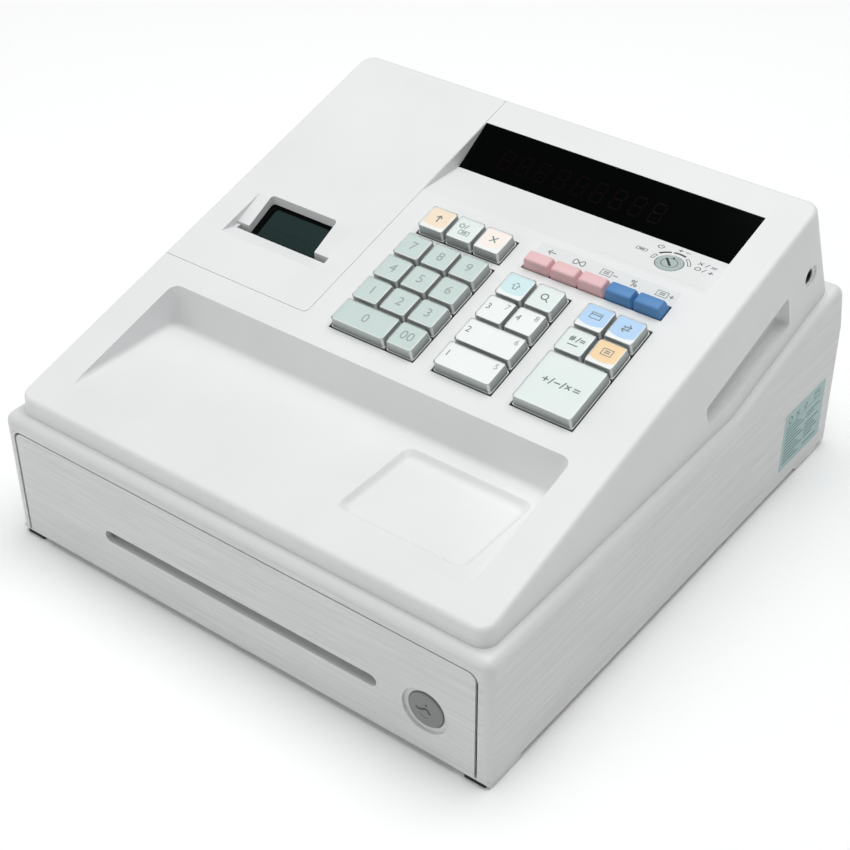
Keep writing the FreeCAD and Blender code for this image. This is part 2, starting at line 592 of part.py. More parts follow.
def printer_cover(form, void):
    """The lift-off cover over the printer, with the paper outlet and the window frame."""
    zone = fuse("cover_region", [
        cover_zone("cover_lips", "dim.cover_right - 2.1", "dim.cover_front", "dim.cover_lip"),
        cover_zone("cover_sheet", "dim.cover_right", "dim.cover_front", "dim.housing_wall + 0.1")])
    skin = cut("cover_skin", common("cover_blank", form, zone), [void])
    block = prism("outlet_block", [
        ("dim.ledge_front - 3", plane("dim.ledge_front - 3") + " - 1"),
        ("dim.ledge_front - 3", plane("dim.ledge_front - 3") + " - 4"),
        ("dim.ledge_rear", plane("dim.ledge_rear") + " - dim.ledge_depth - 3"),
        ("dim.outlet_lip", plane("dim.outlet_lip") + " - dim.glass_drop - 2.5"),
        ("dim.glass_rear + 2.5", plane("dim.glass_rear") + " - dim.glass_drop + 1"),
        ("dim.glass_rear + 2.5", plane("dim.glass_rear") + " - 1")],
        "dim.outlet_left - 2.4", "dim.outlet_right + 2.4")
    pocket = prism("outlet_pocket", [
        ("dim.outlet_rear", plane("dim.outlet_rear")),
        ("dim.outlet_lip - 0.01", plane("dim.outlet_lip") + " - dim.outlet_depth"),
        ("dim.outlet_lip - 0.01", plane("dim.outlet_rear") + " + 2"),
        ("dim.outlet_rear", plane("dim.outlet_rear") + " + 2")], "dim.outlet_left", "dim.outlet_right")
    ledge = prism("outlet_ledge", [
        ("dim.ledge_front", plane("dim.ledge_front")),
        ("dim.ledge_rear", plane("dim.ledge_rear") + " - dim.ledge_depth"),
        ("dim.outlet_lip", plane("dim.ledge_rear") + " - dim.ledge_depth"),
        ("dim.outlet_lip", plane("dim.outlet_rear") + " + 2"),
        ("dim.ledge_front", plane("dim.outlet_rear") + " + 2")], "dim.outlet_left", "dim.outlet_right")
    slot = box("outlet_slot", ("dim.outlet_left + 2", "dim.outlet_right - 2"),
               ("dim.ledge_rear", "dim.outlet_lip"), (110, 160))
    hole = box("glass_hole", ("dim.glass_left", "dim.glass_right"),
               ("dim.outlet_lip - 0.01", "dim.glass_rear"), (110, 160))
    rear = SIZE["glass_rear"]
    hole_soft = rounded("glass_hole_soft", hole, SIZE["glass_round"],
                        lambda edge: runs_along(edge, UP) and edge.BoundBox.YMin > rear - 0.1)
    seat = leaning_box("glass_seat", ("dim.glass_left - 1.2", "dim.glass_right + 1.2"),
                       ("-1", "26"), ("-2", "0.1"), "dim.outlet_lip",
                       plane("dim.outlet_lip") + " - dim.glass_drop", glass_angle())
    blank = fuse("cover_blank_full", [skin, block])
    return node("printer_cover", cut("printer_cover", blank, [pocket, ledge, slot, hole_soft, seat]))


def glass_angle():
    """Lean of the printer window, a little steeper than the housing's top."""
    return "atan(dim.slope + 0.2)"


def cover_window():
    """Smoked window over the paper, clipped into the cover from below."""
    plate = leaning_box("cover_window", ("dim.glass_left - 1.1", "dim.glass_right + 1.1"),
                        ("-0.9", "25"), ("-1.8", "0"), "dim.outlet_lip",
                        plane("dim.outlet_lip") + " - dim.glass_drop", glass_angle())
    return node("cover_window", plate)


def paper_cutter():
    """Toothed steel strip behind the ledge, where the receipt is torn off."""
    across = ("dim.outlet_left + 2.4", "dim.outlet_right - 2.4")
    top = plane("dim.ledge_rear") + " - dim.ledge_depth - 0.4"
    strip = box("cutter_strip", across, ("dim.ledge_rear + 0.05", "dim.ledge_rear + 0.85"),
                (f"{top} - 4.5", top))
    teeth = []
    count = 16
    for i in range(count):
        left = f"dim.outlet_left + 3.2 + {i} * (dim.outlet_right - dim.outlet_left - 6.4) / {count}"
        notch = box(f"tooth_gap_{i}", (left, f"{left} + 1.6"),
                    ("dim.ledge_rear", "dim.ledge_rear + 1"), (f"{top} - 1", f"{top} + 1"))
        teeth.append(notch)
    return node("paper_cutter", cut("paper_cutter", strip, teeth))


def display_window():
    """Dark filter over the cashier's digits."""
    plate = display_slab("display_window", ("dim.notch_left + 0.15", "dim.notch_right - 0.15"),
                         ("0.1", f"{display_length()} - 0.4"), ("-dim.window_thick - 0.1", "-0.1"))
    return node("display_window", plate)


def display_board():
    """Board behind the window with nine digit blocks."""
    board = display_slab("digit_board", (-32, 94), (8, 24), (-8, -6.4))
    digits = []
    for i in range(9):
        left = -31 + i * 12.9
        digits.append(display_slab(f"digit_{i}", (left, left + 11.5), (9, 23), (-6.6, -3)))
    return node("display_board", fuse("display_board", [board] + digits))


def rear_window():
    """Dark filter over the customer's digits, in the rear wall."""
    plate = rear_slab("rear_window", (14.2, 115.8), (34.2, 59.8), (-1.5, -0.2))
    return node("rear_window", plate)


def mode_lock():
    """Key switch in the shelf: a body under the shelf and a turning plug."""
    x, y, top = "dim.mode_x", "dim.mode_y", "dim.shelf_height"
    can = cylinder("mode_can", "z", (x, y, f"{top} - 22"), "dim.mode_radius + 3", "17.6")
    bore = cylinder("mode_bore", "z", (x, y, f"{top} - 19.4"), "dim.mode_radius + 0.06", "30")
    body = node("mode_lock_body", cut("mode_lock_body", can, [bore]))
    plug = cylinder("mode_plug", "z", (x, y, f"{top} - 19"), "dim.mode_radius", "19.9")
    slot = doc.addObject("Part::Box", "mode_slot")
    slot.Placement = Placement(Vector(0, 0, 0), Rotation(UP, -48))
    bind(slot, {"Length": 9, "Width": 1.3, "Height": 8, "Placement.Base.x": f"{x} - 3.5",
                "Placement.Base.y": f"{y} + 2.9", "Placement.Base.z": f"{top} - 6"})
    rotor = node("mode_lock_rotor", cut("mode_lock_rotor", plug, [slot]))
    return body, rotor


def jack_socket():
    """Round socket behind the housing's right side."""
    start = "dim.housing_half - 14"
    barrel = cylinder("jack_barrel", "x", (start, "dim.jack_y", "dim.jack_z"), "dim.jack_radius", "12.6")
    block = box("jack_block", (start, "dim.housing_half - dim.housing_wall - 0.1"),
                ("dim.jack_y - 6", "dim.jack_y + 6"), ("dim.jack_z - 6", "dim.jack_z + 6"))
    bore = cylinder("jack_bore", "x", ("dim.housing_half - 12", "dim.jack_y", "dim.jack_z"),
                    "dim.jack_radius - 1.2", "20")
    return node("jack_socket", cut("jack_socket", fuse("jack_body", [barrel, block]), [bore]))


# ---------------------------------------------------------------- boards and supply

def keyboard_board():
    """Contact board under all the keys."""
    board = sloping_box("keyboard_board", (-44, 138), (-60, 47),
                        ("-dim.board_drop - dim.board_thick", "-dim.board_drop"))
    return node("keyboard_board", board)


def main_board():
    """Processor board on four stand-offs over the deck."""
    board = box("logic_board", (-40, 130), (-40, 60), (95, "95 + dim.board_thick"))
    feet = [cylinder(f"standoff_{i}", "z", (x, y, "dim.deck_top"), 2.5, 9.2)
            for i, (x, y) in enumerate([(-34, -34), (124, -34), (-34, 54), (124, 54)])]
    chips = [box(f"chip_{i}", (x, x + w), (y, y + d), (96, 96 + tall))
             for i, (x, y, w, d, tall) in enumerate([(0, -10, 24, 24, 3.2), (45, -5, 18, 10, 3.6),
                                                     (80, 15, 12, 26, 14), (45, 25, 20, 8, 3.6)])]
    return node("main_board", fuse("main_board", [board] + feet + chips))


def transformer():
    """Mains transformer on the rising part of the deck."""
    core = box("core", (60, 116), (88, 130), (112, 140))
    coil = box("coil", (66, 110), (84, 134), (115, 137))
    tabs = [box(f"tab_{x}", (x, x + 8), (92, 126), (shoulder("126") + " + 0.05", 116)) for x in (60, 108)]
    return node("transformer", fuse("transformer", [core, coil] + tabs))


# ---------------------------------------------------------------- printer

def printer_frame():
    """Moulded frame: two cheeks that carry the platen, the roll cradle between them."""
    left = "dim.paper_mid - dim.paper_wide / 2 - 4"
    right = "dim.paper_mid + dim.paper_wide / 2 + 4"
    side = [(-36, 88), (50, 88), (112, 102), (112, 150), (100, 156), (40, 138), (20, 124), (-36, 121)]
    cheeks = [prism("cheek_left", side, f"{left} - dim.cheek", left),
              prism("cheek_right", side, right, f"{right} + dim.cheek")]
    floor = prism("cradle", [(-36, 88), (50, 88), (112, 102), (112, 104.5), (50, 90.5), (-36, 90.5)],
                  f"{left} - 1", f"{right} + 1")
    spindle = [cylinder("spindle_left", "x", (left, "dim.roll_y", "dim.roll_z"), 4, 6),
               cylinder("spindle_right", "x", (f"{right} - 6", "dim.roll_y", "dim.roll_z"), 4, 6)]
    shaft = cylinder("platen_hole", "x", (f"{left} - 10", "dim.platen_y", "dim.platen_z"), 2.06, 100)
    pivot = cylinder("arm_hole", "x", (f"{left} - 10", 14, 100), 2.06, 100)
    body = fuse("frame_body", cheeks + [floor] + spindle)
    return node("printer_frame", cut("printer_frame", body, [shaft, pivot]))


def platen_roller():
    """Rubber roller on its shaft, with the drive gear outside the cheek."""
    left = "dim.paper_mid - dim.paper_wide / 2"
    rubber = cylinder("platen_rubber", "x", (left, "dim.platen_y", "dim.platen_z"),
                      "dim.platen_radius", "dim.paper_wide")
    shaft = cylinder("platen_shaft", "x", (f"{left} - 8", "dim.platen_y", "dim.platen_z"), 2,
                     "dim.paper_wide + 19")
    gear_left = "dim.paper_mid + dim.paper_wide / 2 + 7"
    gear = cylinder("gear_disc", "x", (gear_left, "dim.platen_y", "dim.platen_z"), 8, 3)
    teeth = []
    count = 18
    for i in range(count):
        tooth = doc.addObject("Part::Box", f"tooth_{i}")
        tooth.Placement = Placement(Vector(0, 0, 0), Rotation(ACROSS, 360 / count * i))
        angle = f"{360 / count * i}deg"
        bind(tooth, {"Length": 3, "Width": 1.4, "Height": 9.4, "Placement.Base.x": gear_left,
                     "Placement.Base.y": f"dim.platen_y - 0.7 * cos({angle})",
                     "Placement.Base.z": f"dim.platen_z - 0.7 * sin({angle})"})
        teeth.append(tooth)
    return node("platen_roller", fuse("platen_roller", [rubber, shaft, gear] + teeth))


def thermal_head():
    """Print head on its release arm, which turns on a pin at the rear."""
    left = "dim.paper_mid - dim.paper_wide / 2"
    right = "dim.paper_mid + dim.paper_wide / 2"
    plate = prism("head_arm", [(-6.6, 104), (12, 97.5), (15, 99.5), (-3.5, 107), (-3.5, 119), (-6.6, 119)],
                  left, right)
    hub = cylinder("head_hub", "x", (left, 14, 100), 3.4, "dim.paper_wide")
    pin = cylinder("head_pin", "x", (f"{left} - 6", 14, 100), 2, "dim.paper_wide + 12")
    return node("thermal_head", fuse("thermal_head", [plate, hub, pin]))


def paper_roll():
    """Receipt roll on its core."""
    left = "dim.paper_mid - dim.paper_wide / 2"
    paper = cylinder("roll_paper", "x", (left, "dim.roll_y", "dim.roll_z"), "dim.roll_radius",
                     "dim.paper_wide")
    bore = cylinder("roll_bore", "x", (f"{left} - 1", "dim.roll_y", "dim.roll_z"), 6, "dim.paper_wide + 2")
    return node("paper_roll", cut("paper_roll", paper, [bore]))


# ---------------------------------------------------------------- the drawer

def drawer_front():
    """Drawer panel: a skin with turned-in edges, the pull slot and the lock seat."""
    half = "dim.front_half"
    front = f"-{HALF_D}"
    block = box("panel_block", (f"-{half}", half), (front, f"{front} + dim.front_thick"),
                ("dim.front_bottom", "dim.front_top"))

    def top_corner(edge):
        return runs_along(edge, BACK) and edge.BoundBox.ZMin > 70

    soft = rounded("panel_soft", block, 5, top_corner)
    hollow = box("panel_hollow", (f"-{half} + dim.front_skin", f"{half} - dim.front_skin"),
                 (f"{front} + dim.front_skin", f"{front} + dim.front_thick + 1"),
                 ("dim.front_bottom + dim.front_skin", "dim.front_top - dim.front_skin - 2"))
    low = "dim.pull_x - dim.pull_half"
    high = "dim.pull_x + dim.pull_half"
    cup = box("pull_cup", (f"{low} - 2.2", f"{high} + 2.2"), (f"{front} + 1", f"{front} + dim.front_thick"),
              ("dim.pull_low - 3.4", "dim.pull_high + 9"))
    boss = cylinder("lock_boss", "y", ("dim.lock_x", f"{front} + 1", "dim.lock_z"), "dim.lock_radius + 5",
                    "dim.front_thick - 1")
    solid = fuse("panel_full", [cut("panel_shell", soft, [hollow]), cup, boss])
    mouth = box("pull_mouth", (low, high), (f"{front} - 1", f"{front} + 4"),
                ("dim.pull_low", "dim.pull_high"))
    mouth_soft = rounded("pull_mouth_soft", mouth, (SIZE["pull_high"] - SIZE["pull_low"]) / 2 - 0.05,
                         lambda edge: runs_along(edge, BACK))
    behind = box("pull_behind", (low, high), (f"{front} + 3.2", f"{front} + dim.front_thick - 1.6"),
                 ("dim.pull_low", "dim.pull_high + 7"))
    dimple = cylinder("lock_dimple", "y", ("dim.lock_x", f"{front} - 1", "dim.lock_z"),
                      "dim.lock_radius + 3.2", "1 + dim.lock_sink")
    bore = cylinder("lock_bore", "y", ("dim.lock_x", f"{front} - 1", "dim.lock_z"),
                    "dim.lock_radius + 0.35", "30")
    return node("drawer_front", cut("drawer_front", solid, [mouth_soft, behind, dimple, bore]))


def drawer_lock():
    """Lock in the panel: a barrel behind it and a turning plug with its tongue."""
    x, z = "dim.lock_x", "dim.lock_z"
    front = f"-{HALF_D}"
    tube = cylinder("barrel_tube", "y", (x, f"{front} + 4.4", z), "dim.lock_radius + 0.3", "13.5")
    bore = cylinder("barrel_bore", "y", (x, f"{front} + 4", z), 8.06, 20)
    rim = cylinder("barrel_nut", "y", (x, f"{front} + dim.front_thick + 1.8", z), "dim.lock_radius + 3", "3")
    barrel = cut("drawer_lock_barrel", fuse("barrel_body", [tube, rim]), [bore])
    face = cylinder("lock_face", "y", (x, f"{front} + dim.lock_sink + 0.1", z), "dim.lock_radius", "2.2")
    plug = cylinder("lock_plug", "y", (x, f"{front} + dim.lock_sink + 2", z), 8, "16.6")
    tongue = box("lock_tongue", (f"{x} - 4", f"{x} + 4"), (f"{front} + 18.1", f"{front} + 20.2"),
                 (f"{z} - 4", f"{z} + 17"))
    slot = box("lock_slot", (f"{x} - 4", f"{x} + 4"), (f"{front} + 1", f"{front} + 8"),
               (f"{z} - 0.9", f"{z} + 0.9"))
    rotor = cut("drawer_lock_rotor", fuse("lock_turning", [face, plug, tongue]), [slot])
    return node("drawer_lock_barrel", barrel), node("drawer_lock_rotor", rotor)


def drawer_box():
    """Steel drawer tray with side flanges, roller pins and a cut-out behind the lock."""
    half = "dim.box_half"
    front = f"-{HALF_D} + dim.front_thick"
    low, high = "dim.box_bottom", "dim.box_top"
    outer = box("box_outer", (f"-{half}", half), (front, "dim.box_rear"), (low, high))
    inner = box("box_inner", (f"-{half} + dim.sheet", f"{half} - dim.sheet"),
                (f"{front} + dim.sheet", "dim.box_rear - dim.sheet"), (f"{low} + dim.sheet", f"{high} + 1"))
    pieces = [cut("box_tray", outer, [inner])]
    for side, sign in (("left", -1), ("right", 1)):
        span = side_span(sign, f"{half} - 0.5", f"{half} + dim.flange")
        pieces.append(box(f"box_flange_{side}", span, (front, "dim.box_rear"), (f"{high} - 1.5", high)))
        start = f"{half} - 0.5" if sign > 0 else f"-{half} - dim.flange + 0.5"
        pieces.append(cylinder(f"roller_pin_{side}", "x", (start, "dim.roller_y", roller_height()), 2.5,
                               "dim.flange"))
    lock_room = box("lock_room", ("dim.lock_x - 19", "dim.lock_x + 19"), (f"{front} - 1", f"{front} + 3"),
                    ("dim.lock_z - 19", "dim.lock_z + 20"))
    return node("drawer_box", cut("drawer_box", fuse("box_full", pieces), [lock_room]))


def roller_height():
    """Height of the rollers' pins over the steel floor."""
    return "dim.case_bottom + dim.sheet + dim.roller_radius + dim.roller_gap"


def drawer_rollers():
    """Two nylon rollers on one line at the rear of the drawer."""
    rollers = []
    for side, start in (("left", "-dim.box_half - 7"), ("right", "dim.box_half + 1")):
        axle = ("dim.roller_y", roller_height())
        tyre = cylinder(f"roller_{side}", "x", (start, *axle), "dim.roller_radius", 6)
        bore = cylinder(f"roller_bore_{side}", "x", (f"{start} - 1", *axle), 2.56, 8)
        rollers.append(cut(f"roller_{side}_turned", tyre, [bore]))
    return node("drawer_rollers", group("drawer_rollers", rollers))


def till_insert():
    """Moulded till with five coin cups in front and four note bays behind."""
    half = "dim.till_half"
    block = box("till_block", (f"-{half}", half), ("dim.till_front", "dim.till_rear"),
                ("dim.box_bottom + dim.sheet + 0.2", "dim.till_top"))
    cups = []
    for i in range(5):
        left = f"-{half} + 2.4 + {i} * (2 * {half} - 2.4) / 5"
        cup = box(f"cup_{i}", (left, f"{left} + (2 * {half} - 2.4) / 5 - 2.4"),
                  ("dim.till_front + 20.5", "dim.till_front + 104"), ("26", "dim.till_top + 2"))
        cups.append(rounded(f"cup_{i}_soft", cup, 14, lambda edge: edge.BoundBox.ZMax < 27
                            and runs_along(edge, ACROSS)))
    for i in range(4):
        left = f"-{half} + 2.4 + {i} * (2 * {half} - 2.4) / 4"
        bay = box(f"bay_{i}", (left, f"{left} + (2 * {half} - 2.4) / 4 - 2.4"),
                  ("dim.till_front + 106.5", "dim.till_rear - 6"), ("14", "dim.till_top + 2"))
        cups.append(bay)
    channel = box("rod_channel", (f"-{half} + 2.4", f"{half} - 2.4"),
                  ("dim.till_rear - 16.2", "dim.till_rear - 11.8"), (55.8, "dim.till_top + 2"))
    lock_room = box("till_lock_room", ("dim.lock_x - 19", f"{half} + 1"),
                    ("dim.till_front - 1", "dim.till_front + 18"), (0, "dim.till_top - 4"))
    return node("till_insert", cut("till_insert", block, cups + [channel, lock_room]))


def bill_clips():
    """Four note clips on one rod at the rear of the note bays."""
    rod = cylinder("clip_rod", "x", ("-dim.till_half + 3", "dim.till_rear - 14", 58), 1.5,
                   "2 * dim.till_half - 6")
    pieces = []
    for i in range(4):
        middle = f"-dim.till_half + 2.4 + ({i} + 0.5) * (2 * dim.till_half - 2.4) / 4 - 1.2"
        pieces.append(prism(f"clip_arm_{i}", [
            (134, 57), (134, 59.5), (128, 59), (60, 21.5), (50, 21.5), (50, 19.5), (61, 19.5), (128, 56.5)],
            f"{middle} - 8", f"{middle} + 8"))
        pieces.append(cylinder(f"clip_hub_{i}", "x", (f"{middle} - 8", "dim.till_rear - 14", 58), 2.6, 16))
        pieces.append(cylinder(f"clip_tip_{i}", "x", (f"{middle} - 18", 52, 21), 2.2, 36))
    return node("bill_clips", fuse("bill_clips", [rod] + pieces))


def latch_lever():
    """Release lever behind the drawer, on a pin across its post."""
    arm = prism("latch_arm", [(158, 14), (172, 14), (172, 24), (166, 26), (166, 50), (155, 50), (155, 46),
                              (161, 45), (161, 26), (158, 24)], -6, 6)
    hole = cylinder("latch_hole", "x", (-10, 167, 19), 2.56, 20)
    return node("latch_lever", cut("latch_lever", arm, [hole]))


# ---------------------------------------------------------------- the keys

def key_size(columns, rows):
    """Width and depth of a key that spans some columns and rows."""
    return (f"({columns} * dim.key_pitch - dim.key_gap)", f"({rows} * dim.key_pitch - dim.key_gap)")


def key(label, wide, deep, middle_x, middle_along, tapers):
    """One key: a tapered cap, a square skirt in the well and the stem under it."""
    cap = tapered(f"{label}_cap", f"{wide} - 0.6", f"{deep} - 0.6", "-0.3", "dim.key_height", *tapers)
    top = SIZE["key_height"]

    def crown(edge):
        bounds = edge.BoundBox
        return bounds.YMax > top - 0.1

    soft = rounded(f"{label}_cap_soft", cap, 0.7, crown)
    skirt = tapered(f"{label}_skirt", wide, deep, "-dim.key_skirt", "-0.3", "0", "0", "0")
    stem = tapered(f"{label}_stem", "dim.stem_size", "dim.stem_size", "-dim.stem_drop",
                   "-dim.key_skirt + 0.1", "0", "0", "0")
    body = fuse(f"key_{label}", [soft, skirt, stem])
    return node(f"key_{label}", set_on_slope(body, middle_x, middle_along))


# name, first column, first row from the front, columns, rows
NUMBER_KEYS = [("7", 0, 3, 1, 1), ("8", 1, 3, 1, 1), ("9", 2, 3, 1, 1), ("4", 0, 2, 1, 1), ("5", 1, 2, 1, 1),
               ("6", 2, 2, 1, 1), ("1", 0, 1, 1, 1), ("2", 1, 1, 1, 1), ("3", 2, 1, 1, 1), ("0", 0, 0, 2, 1),
               ("00", 2, 0, 1, 1)]
ITEM_KEYS = [("shift", 0, 3, 1, 1), ("lookup", 1, 3, 1, 1), ("item3", 0, 2, 1, 1), ("item4", 1, 2, 1, 1),
             ("item2", 0, 1, 2, 1), ("item1", 0, 0, 2, 1)]
TOTAL_KEYS = [("credit", 0, 3, 1, 1), ("exchange", 1, 3, 1, 1), ("subtotal", 0, 2, 1, 1),
              ("cheque", 1, 2, 1, 1), ("total", 0, 0, 2, 2)]
PAPER_KEYS = [("feed", 0, 0, 1, 1), ("receipt", 1, 0, 1, 1), ("clear", 2, 0, 1, 1)]
FUNCTION_KEYS = ["escape", "repeat", "paid_out", "percent", "received"]


def keys():
    """All the keys, group by group."""
    taper = ("dim.key_taper", "dim.key_taper", "dim.key_taper")
    for group_keys, left, front in ((NUMBER_KEYS, "dim.number_left", "dim.field_front"),
                                    (ITEM_KEYS, "dim.item_left", "dim.field_front"),
                                    (TOTAL_KEYS, "dim.total_left", "dim.field_front"),
                                    (PAPER_KEYS, "dim.number_left", "dim.top_row")):
        for label, column, row, columns, rows in group_keys:
            middle_x = f"{left} + dim.well_margin + ({column} + {columns} / 2) * dim.key_pitch"
            along = f"{front} + dim.well_margin + ({row} + {rows} / 2) * dim.key_pitch"
            key(label, *key_size(columns, rows), middle_x, along, taper)
    for i, label in enumerate(FUNCTION_KEYS):
        middle_x = f"dim.button_left + dim.well_margin + ({i} + 0.5) * dim.button_pitch"
        along = "dim.button_front + (dim.button_deep + dim.well_margin) / 2"
        key(label, "(dim.button_pitch - dim.key_gap)", "(dim.button_deep - dim.key_gap)", middle_x, along,
            ("1", "0.8", "2.6"))


# ---------------------------------------------------------------- assembly

form = housing_form()
void = housing_void()
lower_case()
base_plate()
foot_pads()
housing_screws()
power_inlet()
upper_housing(form, void)
printer_cover(form, void)
cover_window()
paper_cutter()
display_window()
display_board()
rear_window()
mode_lock()
jack_socket()
keyboard_board()
main_board()
transformer()
printer_frame()
platen_roller()
thermal_head()
paper_roll()
drawer_front()
drawer_lock()
drawer_box()
drawer_rollers()
till_insert()
bill_clips()
latch_lever()
keys()
doc.recompute()

faults = [thing.Name for thing in doc.Objects if "Invalid" in thing.State or "Error" in thing.State]
faults += [thing.Label for thing in nodes if thing.Shape.isNull() or not thing.Shape.isValid()]
if faults:
    raise RuntimeError("These objects failed: " + ", ".join(faults))

os.makedirs("parts", exist_ok=True)
for thing in nodes:
    thing.Shape.exportStep(f"parts/{thing.Label}.step")
    print(thing.Label, len(thing.Shape.Solids), round(thing.Shape.Volume))
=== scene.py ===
import math

import bmesh
import bpy
from mathutils import Matrix, Vector


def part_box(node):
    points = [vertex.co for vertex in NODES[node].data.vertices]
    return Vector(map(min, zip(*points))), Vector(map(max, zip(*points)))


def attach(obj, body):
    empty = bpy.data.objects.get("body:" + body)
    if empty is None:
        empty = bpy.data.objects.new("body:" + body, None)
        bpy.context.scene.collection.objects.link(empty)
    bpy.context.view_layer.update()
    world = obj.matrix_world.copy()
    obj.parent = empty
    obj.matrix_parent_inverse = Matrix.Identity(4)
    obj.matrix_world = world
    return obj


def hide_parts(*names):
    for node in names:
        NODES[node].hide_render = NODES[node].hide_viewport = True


# A desktop cash register. Everything is in metres, in the CAD frame: the drawer faces -Y,
# +X is to the right of the cashier, and the table is at Z = 0.

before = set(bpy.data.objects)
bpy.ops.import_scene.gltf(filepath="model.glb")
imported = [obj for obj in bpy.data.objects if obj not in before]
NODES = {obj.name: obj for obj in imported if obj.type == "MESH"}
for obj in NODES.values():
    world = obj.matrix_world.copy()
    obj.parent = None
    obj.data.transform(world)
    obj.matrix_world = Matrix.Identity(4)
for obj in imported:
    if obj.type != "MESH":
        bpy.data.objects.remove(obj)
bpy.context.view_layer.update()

MM = 0.001

case_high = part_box("lower_case")[1]
HALF_DEPTH = case_high.y
SIDE_X = case_high.x

# The housing's top is one plane: its slope, and its height above the case's front edge.
SLOPE = 0.275
PLANE_FRONT = 95.6 * MM
TOP = (Matrix.Translation((0, 0, PLANE_FRONT + SLOPE * HALF_DEPTH))
       @ Matrix.Rotation(math.atan(SLOPE), 4, "X"))


# ---------------------------------------------------------------- shader helpers

def new_material(name):
    """An empty node material: its tree, its Principled shader and its object coordinates."""
    made = bpy.data.materials.new(name)
    made.use_nodes = True
    tree = made.node_tree
    shader = tree.nodes["Principled BSDF"]
    coordinates = tree.nodes.new("ShaderNodeTexCoord").outputs["Object"]
    return made, tree, shader, coordinates


def noise(tree, coordinates, size, detail=4, stretch=(1, 1, 1), rough=0.5):
    """Noise whose features are about size metres across, stretched along the axes."""
    mapping = tree.nodes.new("ShaderNodeMapping")
    mapping.inputs["Scale"].default_value = [1 / (size * s) for s in stretch]
    tree.links.new(coordinates, mapping.inputs["Vector"])
    texture = tree.nodes.new("ShaderNodeTexNoise")
    texture.inputs["Scale"].default_value = 1
    texture.inputs["Detail"].default_value = detail
    texture.inputs["Roughness"].default_value = rough
    tree.links.new(mapping.outputs["Vector"], texture.inputs["Vector"])
    return texture.outputs["Fac"]


def ramp(tree, factor, stops):
    """A colour ramp over a factor; each stop is (place, colour)."""
    node = tree.nodes.new("ShaderNodeValToRGB")
    elements = node.color_ramp.elements
    while len(elements) < len(stops):
        elements.new(0.5)
    for element, (place, colour) in zip(elements, stops):
        element.position = place
        element.color = (*colour, 1)
    tree.links.new(factor, node.inputs["Fac"])
    return node.outputs["Color"]


def spread(tree, factor, low, high):
    """A factor mapped onto a range of values."""
    node = tree.nodes.new("ShaderNodeMapRange")
    node.inputs["To Min"].default_value = low
    node.inputs["To Max"].default_value = high
    tree.links.new(factor, node.inputs["Value"])
    return node.outputs["Result"]


def bump(tree, shader, height, depth, strength=1.0, under=None):
    """Bump from a height, depth metres deep, over an earlier bump if there is one."""
    node = tree.nodes.new("ShaderNodeBump")
    node.inputs["Distance"].default_value = depth
    node.inputs["Strength"].default_value = strength
    tree.links.new(height, node.inputs["Height"])
    if under is not None:
        tree.links.new(under, node.inputs["Normal"])
    tree.links.new(node.outputs["Normal"], shader.inputs["Normal"])
    return node.outputs["Normal"]


def tint(colour, factor):
    """A colour made darker or lighter."""
    return tuple(min(1.0, c * factor) for c in colour)


def moulded(name, colour, rough=0.45, grain=0.5 * MM, depth=0.03 * MM, strength=0.35, uneven=0.03):
    """Moulded plastic with a spark-eroded grain and a slightly uneven colour."""
    made, tree, shader, place = new_material(name)
    patches = noise(tree, place, 60 * MM, 3)
    tones = [(0.3, tint(colour, 1 - uneven)), (0.7, tint(colour, 1 + uneven / 3))]
    tree.links.new(ramp(tree, patches, tones), shader.inputs["Base Color"])
    fine = noise(tree, place, grain, 3)
    tree.links.new(spread(tree, fine, rough - 0.06, rough + 0.06), shader.inputs["Roughness"])
    bump(tree, shader, fine, depth, strength)
    return made


def turned_to(tree, direction, low, high):
    """0 to 1 as the surface turns from low to high alignment with a direction, either way round."""
    aligned = tree.nodes.new("ShaderNodeVectorMath")
    aligned.operation = "DOT_PRODUCT"
    aligned.inputs[1].default_value = direction
    tree.links.new(tree.nodes.new("ShaderNodeNewGeometry").outputs["Normal"], aligned.inputs[0])
    size = tree.nodes.new("ShaderNodeMath")
    size.operation = "ABSOLUTE"
    tree.links.new(aligned.outputs["Value"], size.inputs[0])
    node = tree.nodes.new("ShaderNodeMapRange")
    node.inputs["From Min"].default_value = low
    node.inputs["From Max"].default_value = high
    tree.links.new(size.outputs["Value"], node.inputs["Value"])
    return node.outputs["Result"]


def combined(tree, operation, first, second):
    """Two factors put together."""
    node = tree.nodes.new("ShaderNodeMath")
    node.operation = operation
    for socket, value in zip(node.inputs, (first, second)):
        if isinstance(value, float):
            socket.default_value = value
        else:
            tree.links.new(value, socket)
    return node.outputs["Value"]


def streaked(name, colour, rough=0.42):
    """Moulded plastic with embossed streaks that run level along its flat walls."""
    made, tree, shader, place = new_material(name)
    long_streaks = noise(tree, place, 1.5 * MM, 5, stretch=(32, 32, 1), rough=0.62)
    short_streaks = noise(tree, place, 0.8 * MM, 3, stretch=(14, 14, 1))
    flat_wall = combined(tree, "MAXIMUM", turned_to(tree, (1, 0, 0), 0.9, 0.995),
                         turned_to(tree, (0, 1, 0), 0.9, 0.995))
    swing = combined(tree, "MULTIPLY", combined(tree, "SUBTRACT", long_streaks, 0.56), flat_wall)
    tree.links.new(ramp(tree, combined(tree, "ADD", swing, 0.56),
                        [(0.28, tint(colour, 0.87)), (0.72, tint(colour, 1.04))]),
                   shader.inputs["Base Color"])
    tree.links.new(spread(tree, short_streaks, rough - 0.07, rough + 0.07), shader.inputs["Roughness"])
    first = bump(tree, shader, swing, 0.4 * MM, 0.8)
    bump(tree, shader, combined(tree, "MULTIPLY", short_streaks, flat_wall), 0.06 * MM, 0.35, under=first)
    return made


